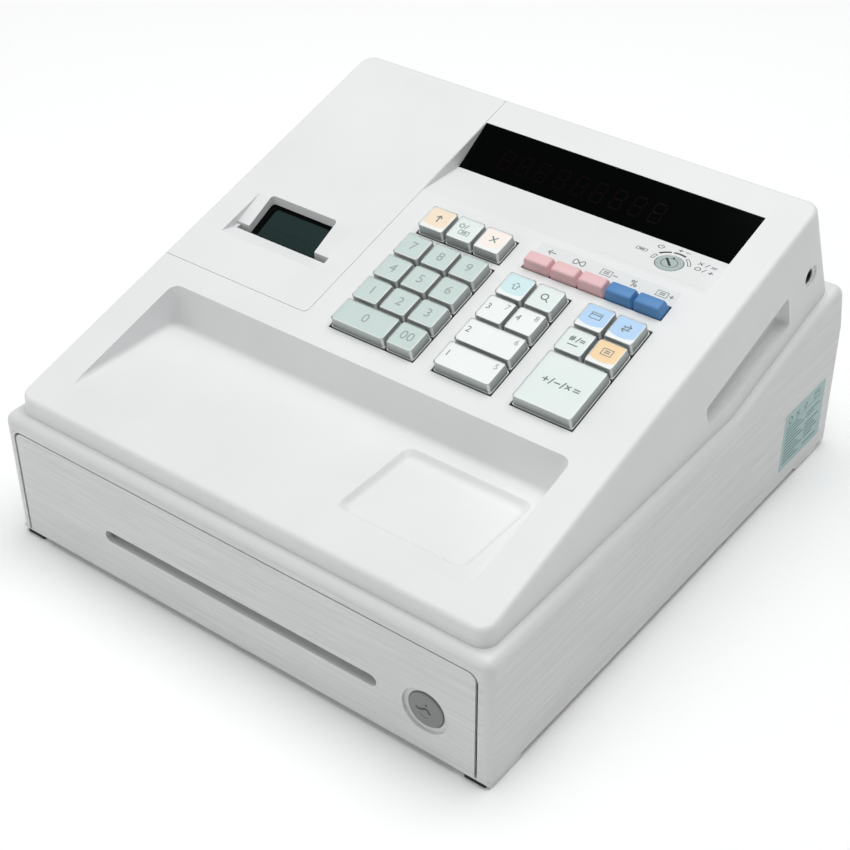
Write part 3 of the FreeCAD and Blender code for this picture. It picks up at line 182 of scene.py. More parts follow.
def zinc_sheet(name):
    """Zinc-plated steel with its spangle and rolling marks."""
    made, tree, shader, place = new_material(name)
    cells = tree.nodes.new("ShaderNodeTexVoronoi")
    cells.inputs["Scale"].default_value = 160
    tree.links.new(place, cells.inputs["Vector"])
    marks = noise(tree, place, 1 * MM, 4, stretch=(1, 40, 1))
    shader.inputs["Metallic"].default_value = 1.0
    tree.links.new(ramp(tree, cells.outputs["Color"], [(0, (0.5, 0.52, 0.53)), (1, (0.68, 0.69, 0.69))]),
                   shader.inputs["Base Color"])
    tree.links.new(spread(tree, marks, 0.32, 0.5), shader.inputs["Roughness"])
    bump(tree, shader, marks, 0.02 * MM, 0.4)
    return made


def turned_steel(name, colour=(0.6, 0.6, 0.61), rough=0.28, lines=0.15 * MM):
    """Bright turned or drawn metal with fine tool marks."""
    made, tree, shader, place = new_material(name)
    marks = noise(tree, place, lines, 4, stretch=(30, 1, 1))
    stains = noise(tree, place, 9 * MM, 3)
    shader.inputs["Metallic"].default_value = 1.0
    tree.links.new(ramp(tree, stains, [(0.3, tint(colour, 0.82)), (0.7, colour)]),
                   shader.inputs["Base Color"])
    tree.links.new(spread(tree, marks, rough - 0.08, rough + 0.12), shader.inputs["Roughness"])
    bump(tree, shader, marks, 0.01 * MM, 0.5)
    return made


def rubber(name, colour=(0.018, 0.018, 0.02)):
    """Black rubber with a coarse matt grain."""
    return moulded(name, colour, rough=0.82, grain=0.7 * MM, depth=0.08 * MM, strength=0.7, uneven=0.2)


def dark_glass(name, colour, rough=0.12, gloss=0.1):
    """A smoked filter: dark, smooth, with a faint unevenness and fine dust."""
    made, tree, shader, place = new_material(name)
    shader.inputs["Specular IOR Level"].default_value = gloss
    waves = noise(tree, place, 30 * MM, 2)
    dust = noise(tree, place, 0.6 * MM, 2)
    tree.links.new(ramp(tree, dust, [(0.62, colour), (0.95, tint(colour, 1.6))]), shader.inputs["Base Color"])
    tree.links.new(spread(tree, waves, rough - 0.03, rough + 0.05), shader.inputs["Roughness"])
    bump(tree, shader, waves, 0.05 * MM, 0.2)
    return made


def circuit(name):
    """Green circuit board with its tracks under the lacquer."""
    made, tree, shader, place = new_material(name)
    cells = tree.nodes.new("ShaderNodeTexVoronoi")
    cells.distance = "CHEBYCHEV"
    cells.feature = "F1"
    cells.inputs["Scale"].default_value = 240
    tree.links.new(place, cells.inputs["Vector"])
    greens = [(0.42, (0.02, 0.16, 0.06)), (0.5, (0.05, 0.27, 0.12))]
    tree.links.new(ramp(tree, cells.outputs["Distance"], greens), shader.inputs["Base Color"])
    lacquer = noise(tree, place, 3 * MM, 3)
    tree.links.new(spread(tree, lacquer, 0.25, 0.42), shader.inputs["Roughness"])
    bump(tree, shader, cells.outputs["Distance"], 0.05 * MM, 0.5)
    return made


def wound_paper(name):
    """Thermal paper: matt white, with its layers on the ends of the roll."""
    made, tree, shader, place = new_material(name)
    low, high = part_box("paper_roll")
    mapping = tree.nodes.new("ShaderNodeMapping")
    mapping.inputs["Location"].default_value = [-c for c in (low + high) / 2]
    tree.links.new(place, mapping.inputs["Vector"])
    rings = tree.nodes.new("ShaderNodeTexWave")
    rings.wave_type = "RINGS"
    rings.rings_direction = "X"
    rings.inputs["Scale"].default_value = 420
    rings.inputs["Distortion"].default_value = 1.5
    tree.links.new(mapping.outputs["Vector"], rings.inputs["Vector"])
    tree.links.new(ramp(tree, rings.outputs["Fac"], [(0, (0.74, 0.74, 0.72)), (1, (0.86, 0.86, 0.85))]),
                   shader.inputs["Base Color"])
    fibre = noise(tree, place, 0.4 * MM, 5)
    tree.links.new(spread(tree, fibre, 0.6, 0.8), shader.inputs["Roughness"])
    bump(tree, shader, fibre, 0.02 * MM, 0.5)
    return made


def laminated(name):
    """Transformer core: thin steel sheets under varnish."""
    made, tree, shader, place = new_material(name)
    sheets = tree.nodes.new("ShaderNodeTexWave")
    sheets.bands_direction = "Y"
    sheets.inputs["Scale"].default_value = 320
    sheets.inputs["Distortion"].default_value = 0.6
    tree.links.new(place, sheets.inputs["Vector"])
    shader.inputs["Metallic"].default_value = 0.6
    tree.links.new(ramp(tree, sheets.outputs["Fac"], [(0, (0.09, 0.085, 0.08)), (1, (0.24, 0.23, 0.21))]),
                   shader.inputs["Base Color"])
    varnish = noise(tree, place, 2 * MM, 3)
    tree.links.new(spread(tree, varnish, 0.3, 0.55), shader.inputs["Roughness"])
    bump(tree, shader, sheets.outputs["Fac"], 0.1 * MM, 0.5)
    return made


def clear_plastic(name, colour, faced, grazed):
    """Clear moulded plastic: see-through when faced, tinted and glossy towards its edges."""
    made, tree, shader, place = new_material(name)
    peel = noise(tree, place, 5 * MM, 2)
    wear = noise(tree, place, 1.2 * MM, 3)
    tree.links.new(ramp(tree, peel, [(0.2, tint(colour, 0.93)), (0.8, tint(colour, 1.07))]),
                   shader.inputs["Base Color"])
    tree.links.new(spread(tree, wear, 0.08, 0.16), shader.inputs["Roughness"])
    bump(tree, shader, peel, 0.03 * MM, 0.25)
    clear = tree.nodes.new("ShaderNodeBsdfTransparent")
    clear.inputs["Color"].default_value = (0.99, 0.995, 0.993, 1)
    tilt = tree.nodes.new("ShaderNodeLayerWeight")
    tilt.inputs["Blend"].default_value = 0.5
    amount = ramp(tree, tilt.outputs["Facing"], [(0.45, (faced,) * 3), (0.72, (faced + 0.1,) * 3),
                                                 (1, (grazed,) * 3)])
    mixed = tree.nodes.new("ShaderNodeMixShader")
    tree.links.new(amount, mixed.inputs["Fac"])
    tree.links.new(clear.outputs["BSDF"], mixed.inputs[1])
    tree.links.new(shader.outputs["BSDF"], mixed.inputs[2])
    tree.links.new(mixed.outputs["Shader"], tree.nodes["Material Output"].inputs["Surface"])
    return made


def key_block(name):
    """The block inside a clear key, with painted shade: greyer down in the well."""
    made, tree, shader, place = new_material(name)
    normal = TOP.col[2].xyz
    foot = tree.nodes.new("ShaderNodeVectorMath")
    foot.operation = "DOT_PRODUCT"
    foot.inputs[1].default_value = normal
    tree.links.new(place, foot.inputs[0])
    height = tree.nodes.new("ShaderNodeMapRange")
    height.inputs["From Min"].default_value = TOP.translation.dot(normal) - 2 * MM
    height.inputs["From Max"].default_value = TOP.translation.dot(normal) + 6 * MM
    tree.links.new(foot.outputs["Value"], height.inputs["Value"])
    # painted shade: the block's colour darkens towards the foot of the well
    painted_shade_greys = [(0.2, (0.34, 0.365, 0.36)), (0.75, (0.5, 0.535, 0.525)), (1, (0.6, 0.63, 0.62))]
    tree.links.new(ramp(tree, height.outputs["Result"], painted_shade_greys), shader.inputs["Base Color"])
    fine = noise(tree, place, 0.9 * MM, 3)
    tree.links.new(spread(tree, fine, 0.4, 0.55), shader.inputs["Roughness"])
    bump(tree, shader, fine, 0.02 * MM, 0.3)
    return made


def paper(name, colour, rough=0.6):
    """Printed card: a flat colour broken by its fibre."""
    made, tree, shader, place = new_material(name)
    fibre = noise(tree, place, 0.35 * MM, 5)
    tree.links.new(ramp(tree, fibre, [(0.3, tint(colour, 0.965)), (0.7, tint(colour, 1.015))]),
                   shader.inputs["Base Color"])
    tree.links.new(spread(tree, fibre, rough - 0.08, rough + 0.08), shader.inputs["Roughness"])
    bump(tree, shader, fibre, 0.01 * MM, 0.4)
    return made


# ---------------------------------------------------------------- materials

HOUSING_WHITE = (0.765, 0.775, 0.775)
CASE_WHITE = (0.712, 0.725, 0.719)

housing_plastic = moulded("housing_plastic", HOUSING_WHITE)
case_plastic = streaked("case_plastic", CASE_WHITE)
black_plastic = moulded("black_plastic", (0.02, 0.02, 0.022), rough=0.5)
inlet_plastic = moulded("inlet_plastic", (0.03, 0.03, 0.032), rough=0.38)
frame_plastic = moulded("frame_plastic", (0.1, 0.1, 0.105), rough=0.55, uneven=0.1)
till_plastic = moulded("till_plastic", (0.36, 0.37, 0.38), rough=0.5, grain=0.8 * MM, uneven=0.06)
nylon = moulded("nylon", (0.7, 0.69, 0.64), rough=0.4, grain=0.9 * MM)
lever_plastic = moulded("lever_plastic", (0.12, 0.22, 0.42), rough=0.45)
clip_plastic = moulded("clip_plastic", (0.24, 0.25, 0.26), rough=0.42, grain=0.8 * MM)
head_metal = turned_steel("head_metal", (0.5, 0.5, 0.52), 0.35, 0.3 * MM)
screw_steel = turned_steel("screw_steel")
cutter_steel = turned_steel("cutter_steel", (0.68, 0.68, 0.69), 0.22, 0.2 * MM)
galvanised = zinc_sheet("galvanised")
pad_rubber = rubber("pad_rubber")
roller_rubber = rubber("roller_rubber", (0.03, 0.03, 0.033))
# painted shade: near-black, rubber-grained, for the strip that darkens the drawer gap
gap_shade_black = rubber("gap_shade_black", (0.004, 0.004, 0.004))
# painted shade: near-black for the plates that darken the key wells
well_shade_black = moulded("well_shade_black", (0.006, 0.007, 0.007), rough=0.6)
display_filter = dark_glass("display_filter", (0.0006, 0.0008, 0.0008), gloss=0.05)
smoked_window = dark_glass("smoked_window", (0.017, 0.033, 0.031), 0.1)
board_green = circuit("board_green")
roll_paper = wound_paper("roll_paper")
core_steel = laminated("core_steel")
mode_face = moulded("mode_face", (0.41, 0.485, 0.475), rough=0.4, grain=0.4 * MM)
lock_face = moulded("lock_face", (0.225, 0.24, 0.235), rough=0.4, grain=0.4 * MM, uneven=0.08)
lock_metal = turned_steel("lock_metal", (0.45, 0.46, 0.46), 0.35)

clear_key = clear_plastic("clear_key", (0.645, 0.695, 0.68), 0.03, 0.85)
# painted shade and painted highlight for the caps' edges: darker and brighter copies of the clear key plastic
cap_painted_shade = clear_plastic("cap_painted_shade", (0.10, 0.13, 0.125), 0.75, 0.95)
cap_painted_highlight = clear_plastic("cap_painted_highlight", (0.93, 0.95, 0.945), 0.85, 0.95)
key_core = key_block("key_core")
pink_button = moulded("pink_button", (0.76, 0.49, 0.505), rough=0.5, strength=0.5, uneven=0.06)
blue_button = moulded("blue_button", (0.08, 0.24, 0.51), rough=0.48, strength=0.5, uneven=0.08)
label_green = paper("label_green", (0.60, 0.69, 0.665))
label_white = paper("label_white", (0.90, 0.905, 0.905))
label_pale = paper("label_pale", (0.80, 0.85, 0.835))
label_peach = paper("label_peach", (0.94, 0.77, 0.60))
label_orange = paper("label_orange", (0.96, 0.69, 0.41))
label_blush = paper("label_blush", (0.96, 0.86, 0.80))
label_cyan = paper("label_cyan", (0.66, 0.83, 0.86))
label_blue = paper("label_blue", (0.48, 0.68, 0.93))
strip_grey = paper("strip_grey", (0.715, 0.73, 0.73), 0.5)
legend_white = paper("legend_white", (0.752, 0.765, 0.765), 0.5)
side_label = paper("side_label", (0.37, 0.53, 0.52), 0.45)
ink_grey = paper("ink_grey", (0.16, 0.20, 0.20))
ink_pale = paper("ink_pale", (0.34, 0.38, 0.38))
# dark print; also painted shade in the lock plugs' grooves, key slots and inner arc
dark_ink_and_shade = paper("dark_ink_and_shade", (0.03, 0.035, 0.035), 0.4)
ink_label = paper("ink_label", (0.10, 0.20, 0.21), 0.45)
ghost_red = dark_glass("ghost_red", (0.0045, 0.0018, 0.0015), gloss=0.05)
mask_black = dark_glass("mask_black", (0.0012, 0.0016, 0.0016), gloss=0.06)
guide_green = dark_glass("guide_green", (0.016, 0.028, 0.027), gloss=0.08)

FINISHES = {
    housing_plastic: ["upper_housing", "printer_cover"],
    case_plastic: ["lower_case", "drawer_front"],
    galvanised: ["base_plate", "drawer_box"],
    pad_rubber: ["foot_pads"],
    roller_rubber: ["platen_roller"],
    screw_steel: ["housing_screws"],
    cutter_steel: ["paper_cutter"],
    inlet_plastic: ["power_inlet"],
    black_plastic: ["jack_socket", "mode_lock_body"],
    smoked_window: ["cover_window"],
    display_filter: ["display_window", "rear_window"],
    board_green: ["display_board", "keyboard_board", "main_board"],
    core_steel: ["transformer"],
    frame_plastic: ["printer_frame"],
    head_metal: ["thermal_head"],
    roll_paper: ["paper_roll"],
    nylon: ["drawer_rollers"],
    till_plastic: ["till_insert"],
    clip_plastic: ["bill_clips"],
    lever_plastic: ["latch_lever"],
    mode_face: ["mode_lock_rotor"],
    lock_metal: ["drawer_lock_barrel"],
    lock_face: ["drawer_lock_rotor"],
}
for finish, members in FINISHES.items():
    for member in members:
        NODES[member].data.materials.clear()
        NODES[member].data.materials.append(finish)


# ---------------------------------------------------------------- mesh helpers

def extents(node, place):
    """Lowest and highest corner of a CAD node, in the frame of place."""
    inverse = place.inverted()
    points = [inverse @ v.co for v in NODES[node].data.vertices]
    return (Vector([min(p[i] for p in points) for i in range(3)]),
            Vector([max(p[i] for p in points) for i in range(3)]))


def finished(name, mesh, place, materials, body, crease=40):
    """A mesh as a piece: put in place, shaded, given its materials and tied to its body."""
    mesh.name = name
    mesh.transform(place)
    for one in materials:
        mesh.materials.append(one)
    for face in mesh.polygons:
        face.use_smooth = True
    mesh.set_sharp_from_angle(angle=math.radians(crease))
    piece = bpy.data.objects.new(name, mesh)
    bpy.context.scene.collection.objects.link(piece)
    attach(piece, body)
    return piece


def rounded_ring(half_x, half_y, radius, height, middle=(0, 0), steps=5):
    """A level ring of points round a rectangle with round corners."""
    points = []
    for corner, (sx, sy) in enumerate([(1, 1), (-1, 1), (-1, -1), (1, -1)]):
        cx = middle[0] + sx * (half_x - radius)
        cy = middle[1] + sy * (half_y - radius)
        for step in range(steps + 1):
            angle = math.pi / 2 * (corner + step / steps)
            points.append(Vector((cx + radius * math.cos(angle), cy + radius * math.sin(angle), height)))
    return points


def add_loft(form, rings, material=0, cap_material=None):
    """Skin a run of rings that have the same number of points, and close both ends."""
    rows = [[form.verts.new(p) for p in ring] for ring in rings]
    count = len(rows[0])
    for low, high in zip(rows, rows[1:]):
        for i in range(count):
            j = (i + 1) % count
            form.faces.new((low[i], low[j], high[j], high[i])).material_index = material
    form.faces.new(reversed(rows[0])).material_index = material
    form.faces.new(rows[-1]).material_index = material if cap_material is None else cap_material


def add_plate(form, outline, low, high, material=0):
    """A flat plate between two heights, from a 2-D outline."""
    add_loft(form, [[Vector((x, y, z)) for x, y in outline] for z in (low, high)], material)


def add_pierced_plate(form, outline, holes, low, high, material=0):
    """A flat plate with holes, built from its outline and theirs."""
    edges = []
    for loop in [outline] + holes:
        corners = [form.verts.new((px, py, high)) for px, py in loop]
        edges += [form.edges.new((corners[i], corners[(i + 1) % len(corners)])) for i in range(len(corners))]
    filled = bmesh.ops.triangle_fill(form, use_beauty=True, use_dissolve=False, edges=edges)
    faces = [g for g in filled["geom"] if isinstance(g, bmesh.types.BMFace)]
    grown = bmesh.ops.extrude_face_region(form, geom=faces)
    moved = [g for g in grown["geom"] if isinstance(g, bmesh.types.BMVert)]
    bmesh.ops.translate(form, verts=moved, vec=(0, 0, low - high))
    for face in form.faces:
        face.material_index = material


def disc_rings(profile, segments=48):
    """Rings round Z for a turned shape, from (radius, height) pairs."""
    return [[Vector((r * math.cos(2 * math.pi * i / segments), r * math.sin(2 * math.pi * i / segments), z))
             for i in range(segments)] for r, z in profile]


def rounded_outline(x0, y0, x1, y1, radius, steps=5):
    """A rectangle with round corners as a 2-D outline."""
    middle = ((x0 + x1) / 2, (y0 + y1) / 2)
    return [(p.x, p.y) for p in rounded_ring((x1 - x0) / 2, (y1 - y0) / 2, radius, 0, middle, steps)]


def arc(x, y, radius, start, end, steps=12):
    """Points along an arc, in degrees."""
    angles = [math.radians(start + (end - start) * i / steps) for i in range(steps + 1)]
    return [(x + radius * math.cos(a), y + radius * math.sin(a)) for a in angles]


INK_HEIGHT = 0.03 * MM


def add_mesh(form, mesh, material):
    """Add a finished mesh to a form, all in one material, and discard it."""
    first = len(form.faces)
    form.from_mesh(mesh)
    form.faces.ensure_lookup_table()
    for face in form.faces[first:]:
        face.material_index = material
    bpy.data.meshes.remove(mesh)


def curve_mesh(curve):
    """The mesh of a curve or text, which is then discarded."""
    holder = bpy.data.objects.new("holder", curve)
    mesh = bpy.data.meshes.new_from_object(holder)
    bpy.data.objects.remove(holder)
    bpy.data.curves.remove(curve)
    return mesh


def add_stroke(form, points, width, height, material=0, closed=False):
    """A printed line of one width along 2-D points."""
    curve = bpy.data.curves.new("stroke", "CURVE")
    curve.dimensions = "3D"
    curve.bevel_depth = width / 2
    curve.bevel_resolution = 1
    curve.use_fill_caps = True
    spline = curve.splines.new("POLY")
    spline.points.add(len(points) - 1)
    for target, (x, y) in zip(spline.points, points):
        target.co = (x, y, 0, 1)
    spline.use_cyclic_u = closed
    mesh = curve_mesh(curve)
    mesh.transform(Matrix.Translation((0, 0, height)) @ Matrix.Diagonal((1, 1, INK_HEIGHT / (width / 2), 1)))
    add_mesh(form, mesh, material)


def add_number(form, text, x, y, size, height, material=0):
    """Printed digits, centred on a point."""
    curve = bpy.data.curves.new("digits", "FONT")
    curve.body = text
    curve.size = size
    curve.align_x = "CENTER"
    curve.align_y = "CENTER"
    curve.extrude = INK_HEIGHT
    curve.resolution_u = 3
    mesh = curve_mesh(curve)
    mesh.transform(Matrix.Translation((x, y, height)))
    add_mesh(form, mesh, material)


def piece_from(form, name, place, materials, body, crease=40):
    """Close a form and make a piece of it."""
    bmesh.ops.recalc_face_normals(form, faces=form.faces)
    mesh = bpy.data.meshes.new(name)
    form.to_mesh(mesh)
    form.free()
    return finished(name, mesh, place, materials, body, crease)


# ---------------------------------------------------------------- signs on the keys

def sign_arrow(x, y, size, turn=0):
    """An arrow that points up, turned by some degrees: strokes as point lists."""
    c, s = math.cos(math.radians(turn)), math.sin(math.radians(turn))

    def at(u, v):
        return (x + size * (u * c - v * s), y + size * (u * s + v * c))

    return [([at(0, -0.5), at(0, 0.5)], False), ([at(-0.36, 0.12), at(0, 0.5), at(0.36, 0.12)], False)]


def sign_cross(x, y, size):
    """A diagonal cross."""
    h = size / 2
    return [([(x - h, y - h), (x + h, y + h)], False), ([(x - h, y + h), (x + h, y - h)], False)]


def sign_plus(x, y, size):
    """A plus sign."""
    h = size / 2
    return [([(x - h, y), (x + h, y)], False), ([(x, y - h), (x, y + h)], False)]


def sign_minus(x, y, size):
    """A minus sign."""
    return [([(x - size / 2, y), (x + size / 2, y)], False)]


def sign_equals(x, y, size):
    """An equals sign."""
    return sign_minus(x, y + size * 0.2, size) + sign_minus(x, y - size * 0.2, size)


def sign_slash(x, y, size):
    """A slash between two signs."""
    return [([(x - size * 0.2, y - size * 0.6), (x + size * 0.2, y + size * 0.6)], False)]


def sign_ring(x, y, radius):
    """A ring."""
    return [(arc(x, y, radius, 0, 345, 22), True)]


def sign_percent(x, y, size):
    """A percent sign."""
    return (sign_slash(x, y, size) + sign_ring(x - size * 0.3, y + size * 0.3, size * 0.17)
            + sign_ring(x + size * 0.3, y - size * 0.3, size * 0.17))


def sign_hash(x, y, size):
    """A number sign."""
    h = size / 2
    lean = size * 0.1
    uprights = [([(x + o - lean, y - h), (x + o + lean, y + h)], False) for o in (-size * 0.18, size * 0.18)]
    levels = [([(x - h * 0.9, y + o), (x + h * 0.9, y + o)], False) for o in (-size * 0.17, size * 0.17)]
    return uprights + levels


def sign_card(x, y, wide, tall):
    """A payment card: a frame with a stripe."""
    w, t = wide / 2, tall / 2
    frame_line = [(x - w, y - t), (x + w, y - t), (x + w, y + t), (x - w, y + t)]
    return [(frame_line, True), ([(x - w, y + t * 0.35), (x + w, y + t * 0.35)], False)]


def sign_slip(x, y, wide, tall):
    """A paper slip with two lines on it."""
    w, t = wide / 2, tall / 2
    frame_line = [(x - w, y - t), (x + w, y - t), (x + w, y + t), (x - w, y + t)]
    lines = [([(x - w * 0.55, y + o), (x + w * 0.55, y + o)], False) for o in (t * 0.35, -t * 0.25)]
    return [(frame_line, True)] + lines


def sign_shift(x, y, size):
    """A hollow arrow."""
    h = size / 2
    points = [(-0.45, -1), (-0.45, 0), (-1, 0), (0, 1), (1, 0), (0.45, 0), (0.45, -1)]
    return [([(x + u * h, y + v * h) for u, v in points], True)]


def sign_swap(x, y, size):
    """Two opposite arrows."""
    up = sign_arrow(x, y + size * 0.24, size, -90)
    down = sign_arrow(x, y - size * 0.24, size, 90)
    return up + down


def sign_lens(x, y, size):
    """A magnifying glass."""
    r = size * 0.34
    return sign_ring(x - size * 0.1, y + size * 0.1, r) + [
        ([(x + size * 0.14, y - size * 0.14), (x + size * 0.46, y - size * 0.46)], False)]


def sign_endless(x, y, size):
    """A lying figure of eight."""
    points = []
    for i in range(28):
        angle = 2 * math.pi * i / 28
        points.append((x + size * 0.5 * math.sin(angle), y + size * 0.26 * math.sin(2 * angle)))
    return [(points, True)]


def sign_power(x, y, radius):
    """A broken ring with a bar through the gap."""
    bar = [(x, y + radius * 0.25), (x, y + radius * 1.35)]
    return [(arc(x, y, radius, 125, 415, 20), False), (bar, False)]


# ---------------------------------------------------------------- keys

CAP_WALL = 0.25 * MM
CAP_LEAN = 0.25 * MM
CAP_ROUND = 0.6 * MM
FLANGE_TOP = 0.2 * MM
FLANGE_STEP = 0.45 * MM
TOP_SKIN = 0.4 * MM

# What each clear key carries: its card, its coloured field, its digits and its signs.
NUMBERS = ["0", "00", "1", "2", "3", "4", "5", "6", "7", "8", "9"]
FIELDS = {"feed": label_peach, "clear": label_blush, "shift": label_cyan, "credit": label_blue,
          "exchange": label_blue, "cheque": label_orange}
WHITE_CARDS = ["feed", "clear", "shift", "credit", "exchange", "cheque", "item1", "item2", "item3", "item4"]


def key_signs(name):
    """The strokes printed on a key's card, as (points, closed, width)."""
    thick = 0.95 * MM
    thin = 0.7 * MM
    drawn = {
        "feed": (sign_arrow(0, 0.6 * MM, 5.2 * MM), thick),
        "clear": (sign_cross(0, 0.8 * MM, 4.2 * MM), 0.8 * MM),
        "shift": (sign_shift(0, 0.6 * MM, 4.8 * MM), thin),
        "lookup": (sign_lens(0, 0.3 * MM, 5.8 * MM), 0.8 * MM),
        "credit": (sign_card(0, 1.4 * MM, 6.4 * MM, 4.2 * MM), thin),
        "exchange": (sign_swap(0, 1.0 * MM, 4.8 * MM), thin),
        "subtotal": (sign_hash(-2.4 * MM, 1.6 * MM, 3.6 * MM) + sign_slash(1.0 * MM, 1.6 * MM, 3.4 * MM)
                     + sign_equals(3.8 * MM, 1.6 * MM, 3.0 * MM) + sign_minus(0, -2.6 * MM, 6.4 * MM), thin),
        "cheque": (sign_slip(0, 1.2 * MM, 6.0 * MM, 4.4 * MM), thin),
        "receipt": (sign_power(-3.6 * MM, 2.2 * MM, 1.5 * MM) + sign_slash(-0.4 * MM, 2.2 * MM, 3.0 * MM)
                    + sign_slip(0.6 * MM, -2.4 * MM, 6.4 * MM, 3.0 * MM), 0.55 * MM),
        "total": (sign_plus(-9.0 * MM, 0, 3.6 * MM) + sign_slash(-5.4 * MM, 0, 4.0 * MM)
                  + sign_minus(-1.8 * MM, 0, 3.6 * MM) + sign_slash(1.8 * MM, 0, 4.0 * MM)
                  + sign_cross(5.0 * MM, 0, 2.8 * MM) + sign_equals(10.2 * MM, 0, 3.8 * MM), 0.8 * MM)}
    strokes, width = drawn.get(name, ([], thin))
    return [(points, closed, width) for points, closed in strokes]


def field_outline(half_x, half_y):
    """The coloured field on a card: square at the rear, with a hanging curve at the front."""
    front = -half_y * 0.52
    sag = half_y * 0.24
    points = [(half_x, half_y), (-half_x, half_y)]
    for i in range(13):
        u = -1 + i / 6
        points.append((u * half_x, front - sag * (1 - u * u)))
    return points


def shade_cap(form, middle, half_x, half_y, side_top):
    """Painted shade on a cap's rear and left crown, as a darker copy of the clear plastic; painted highlight
    on its front crown, flange and corners, as a brighter copy.
    """
    corner = 1.7 * MM
    form.normal_update()
    for face in form.faces:
        away = face.calc_center_median() - Vector((*middle, 0))
        to_rear_left = away.y / half_y > away.x / half_x
        on_crown = away.z > side_top and abs(face.normal.z) < 0.99
        on_flange = abs(away.z - FLANGE_TOP) < 0.1 * MM
        on_corner = abs(away.x) > half_x - corner and abs(away.y) > half_y - corner
        if on_crown and to_rear_left and away.z < side_top + 0.92 * CAP_ROUND:
            face.material_index = 1
        elif on_crown and away.z > side_top + 0.7 * CAP_ROUND:
            face.material_index = 2
        elif on_flange or (on_corner and 0 < away.z < side_top and not to_rear_left):
            face.material_index = 2


def clear_cap(name, low, high, body):
    """A hollow clear cap with a flange in the well, lofted from inside to outside."""
    middle = ((low.x + high.x) / 2, (low.y + high.y) / 2)
    half_x, half_y = (high.x - low.x) / 2, (high.y - low.y) / 2
    bottom = FLANGE_TOP - 2.7 * MM

    def ring(inset, height, corner):
        return rounded_ring(half_x - inset, half_y - inset, corner, height, middle)

    def lean(height):
        return CAP_LEAN * (height - FLANGE_TOP) / (high.z - FLANGE_TOP)

    inner_top = high.z - TOP_SKIN
    outer = FLANGE_STEP
    inner = FLANGE_STEP + CAP_WALL
    rings = [ring(inner + lean(inner_top) + 0.3 * MM, inner_top, 1.3 * MM),
             ring(inner + lean(inner_top), inner_top - 0.3 * MM, 1.3 * MM),
             ring(inner, bottom, 1.0 * MM),
             ring(0.05 * MM, bottom, 1.6 * MM),
             ring(0.05 * MM, FLANGE_TOP - 0.1 * MM, 1.6 * MM),
             ring(0.15 * MM, FLANGE_TOP, 1.6 * MM),
             ring(outer, FLANGE_TOP + 0.05 * MM, 1.6 * MM)]
    side_top = high.z - CAP_ROUND - 0.05 * MM
    edge = outer + lean(side_top) + CAP_ROUND
    rings.append(ring(edge - CAP_ROUND, side_top, 1.7 * MM))
    for step in range(1, 6):
        angle = math.pi / 2 * step / 5
        rings.append(ring(edge - CAP_ROUND * math.cos(angle), side_top + CAP_ROUND * math.sin(angle),
                          1.8 * MM))
    for inset, sink in ((1.6, 0.01), (3.2, 0.07), (4.8, 0.1)):
        if half_x - edge - inset * MM > 2.3 * MM and half_y - edge - inset * MM > 2.3 * MM:
            rings.append(ring(edge + inset * MM, high.z - 0.05 * MM - sink * MM, 2.2 * MM))
    form = bmesh.new()
    add_loft(form, rings)
    shade_cap(form, middle, half_x, half_y, side_top)
    return piece_from(form, name, TOP, [clear_key, cap_painted_shade, cap_painted_highlight], body, 30)


def key_card(key, name, low, high, body):
    """The block inside a clear key, its card and what is printed on it."""
    middle = Vector(((low.x + high.x) / 2, (low.y + high.y) / 2, 0))
    half_x, half_y = (high.x - low.x) / 2, (high.y - low.y) / 2
    inset = FLANGE_STEP + CAP_WALL + 0.08 * MM
    top = high.z - TOP_SKIN - 0.15 * MM
    card = label_green if key in NUMBERS else label_white if key in WHITE_CARDS else label_pale
    form = bmesh.new()
    add_loft(form, [
        rounded_ring(half_x - inset, half_y - inset, 1.0 * MM, -3.2 * MM),
        rounded_ring(half_x - inset - 0.3 * MM, half_y - inset - 0.3 * MM, 1.1 * MM, top - 0.2 * MM),
        rounded_ring(half_x - inset - 0.45 * MM, half_y - inset - 0.45 * MM, 1.1 * MM, top)], 0, 1)
    face_x = half_x - inset - 0.45 * MM
    face_y = half_y - inset - 0.45 * MM
    field = FIELDS.get(key, card)
    if key in FIELDS:
        add_plate(form, field_outline(face_x - 0.3 * MM, face_y - 0.2 * MM), top - 0.05 * MM,
                  top + 0.03 * MM, 2)
    print_height = top + 0.05 * MM
    if key in NUMBERS:
        add_number(form, key, 0, 0, 8.8 * MM, print_height, 3)
    if key.startswith("item"):
        number = int(key[-1])
        add_number(form, str(number), -half_x + 4.4 * MM, 0.6 * MM, 6.0 * MM, print_height, 3)
        add_number(form, str(number + 4), half_x - 4.4 * MM, half_y - 5.2 * MM, 5.4 * MM, print_height, 4)
    for points, closed, width in key_signs(key):
        add_stroke(form, points, width, print_height, 3, closed)
    place = TOP @ Matrix.Translation(middle)
    ink = ink_pale if key in NUMBERS else ink_grey
    return piece_from(form, name, place, [key_core, card, field, ink, ink_pale], body, 35)


def push_button(node, low, high):
    """A solid coloured button with a rounded crown and a long rear slope."""
    middle_x = (low.x + high.x) / 2
    half_x = (high.x - low.x) / 2
    rings = []
    profile = [(0.05, -3.2, 0, 0), (0.05, FLANGE_TOP / MM, 0, 0), (0.2, 0.4, 0.05, 0.2),
               (0.75, 5.2, 0.4, 1.6), (0.95, 6.0, 0.6, 1.95), (1.35, 6.55, 1.0, 2.4), (2.0, 6.78, 1.6, 3.0)]
    for side, height, front, rear in profile:
        y0 = low.y + 0.05 * MM + front * MM
        y1 = high.y - 0.05 * MM - rear * MM
        rings.append(rounded_ring(half_x - side * MM, (y1 - y0) / 2, 1.1 * MM, height * MM,
                                  (middle_x, (y0 + y1) / 2)))
    form = bmesh.new()
    add_loft(form, rings)
    is_pink = node in ("key_escape", "key_repeat", "key_paid_out")
    piece = piece_from(form, f"{node}_button", TOP, [pink_button if is_pink else blue_button], node,
                       50)
    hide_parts(node)


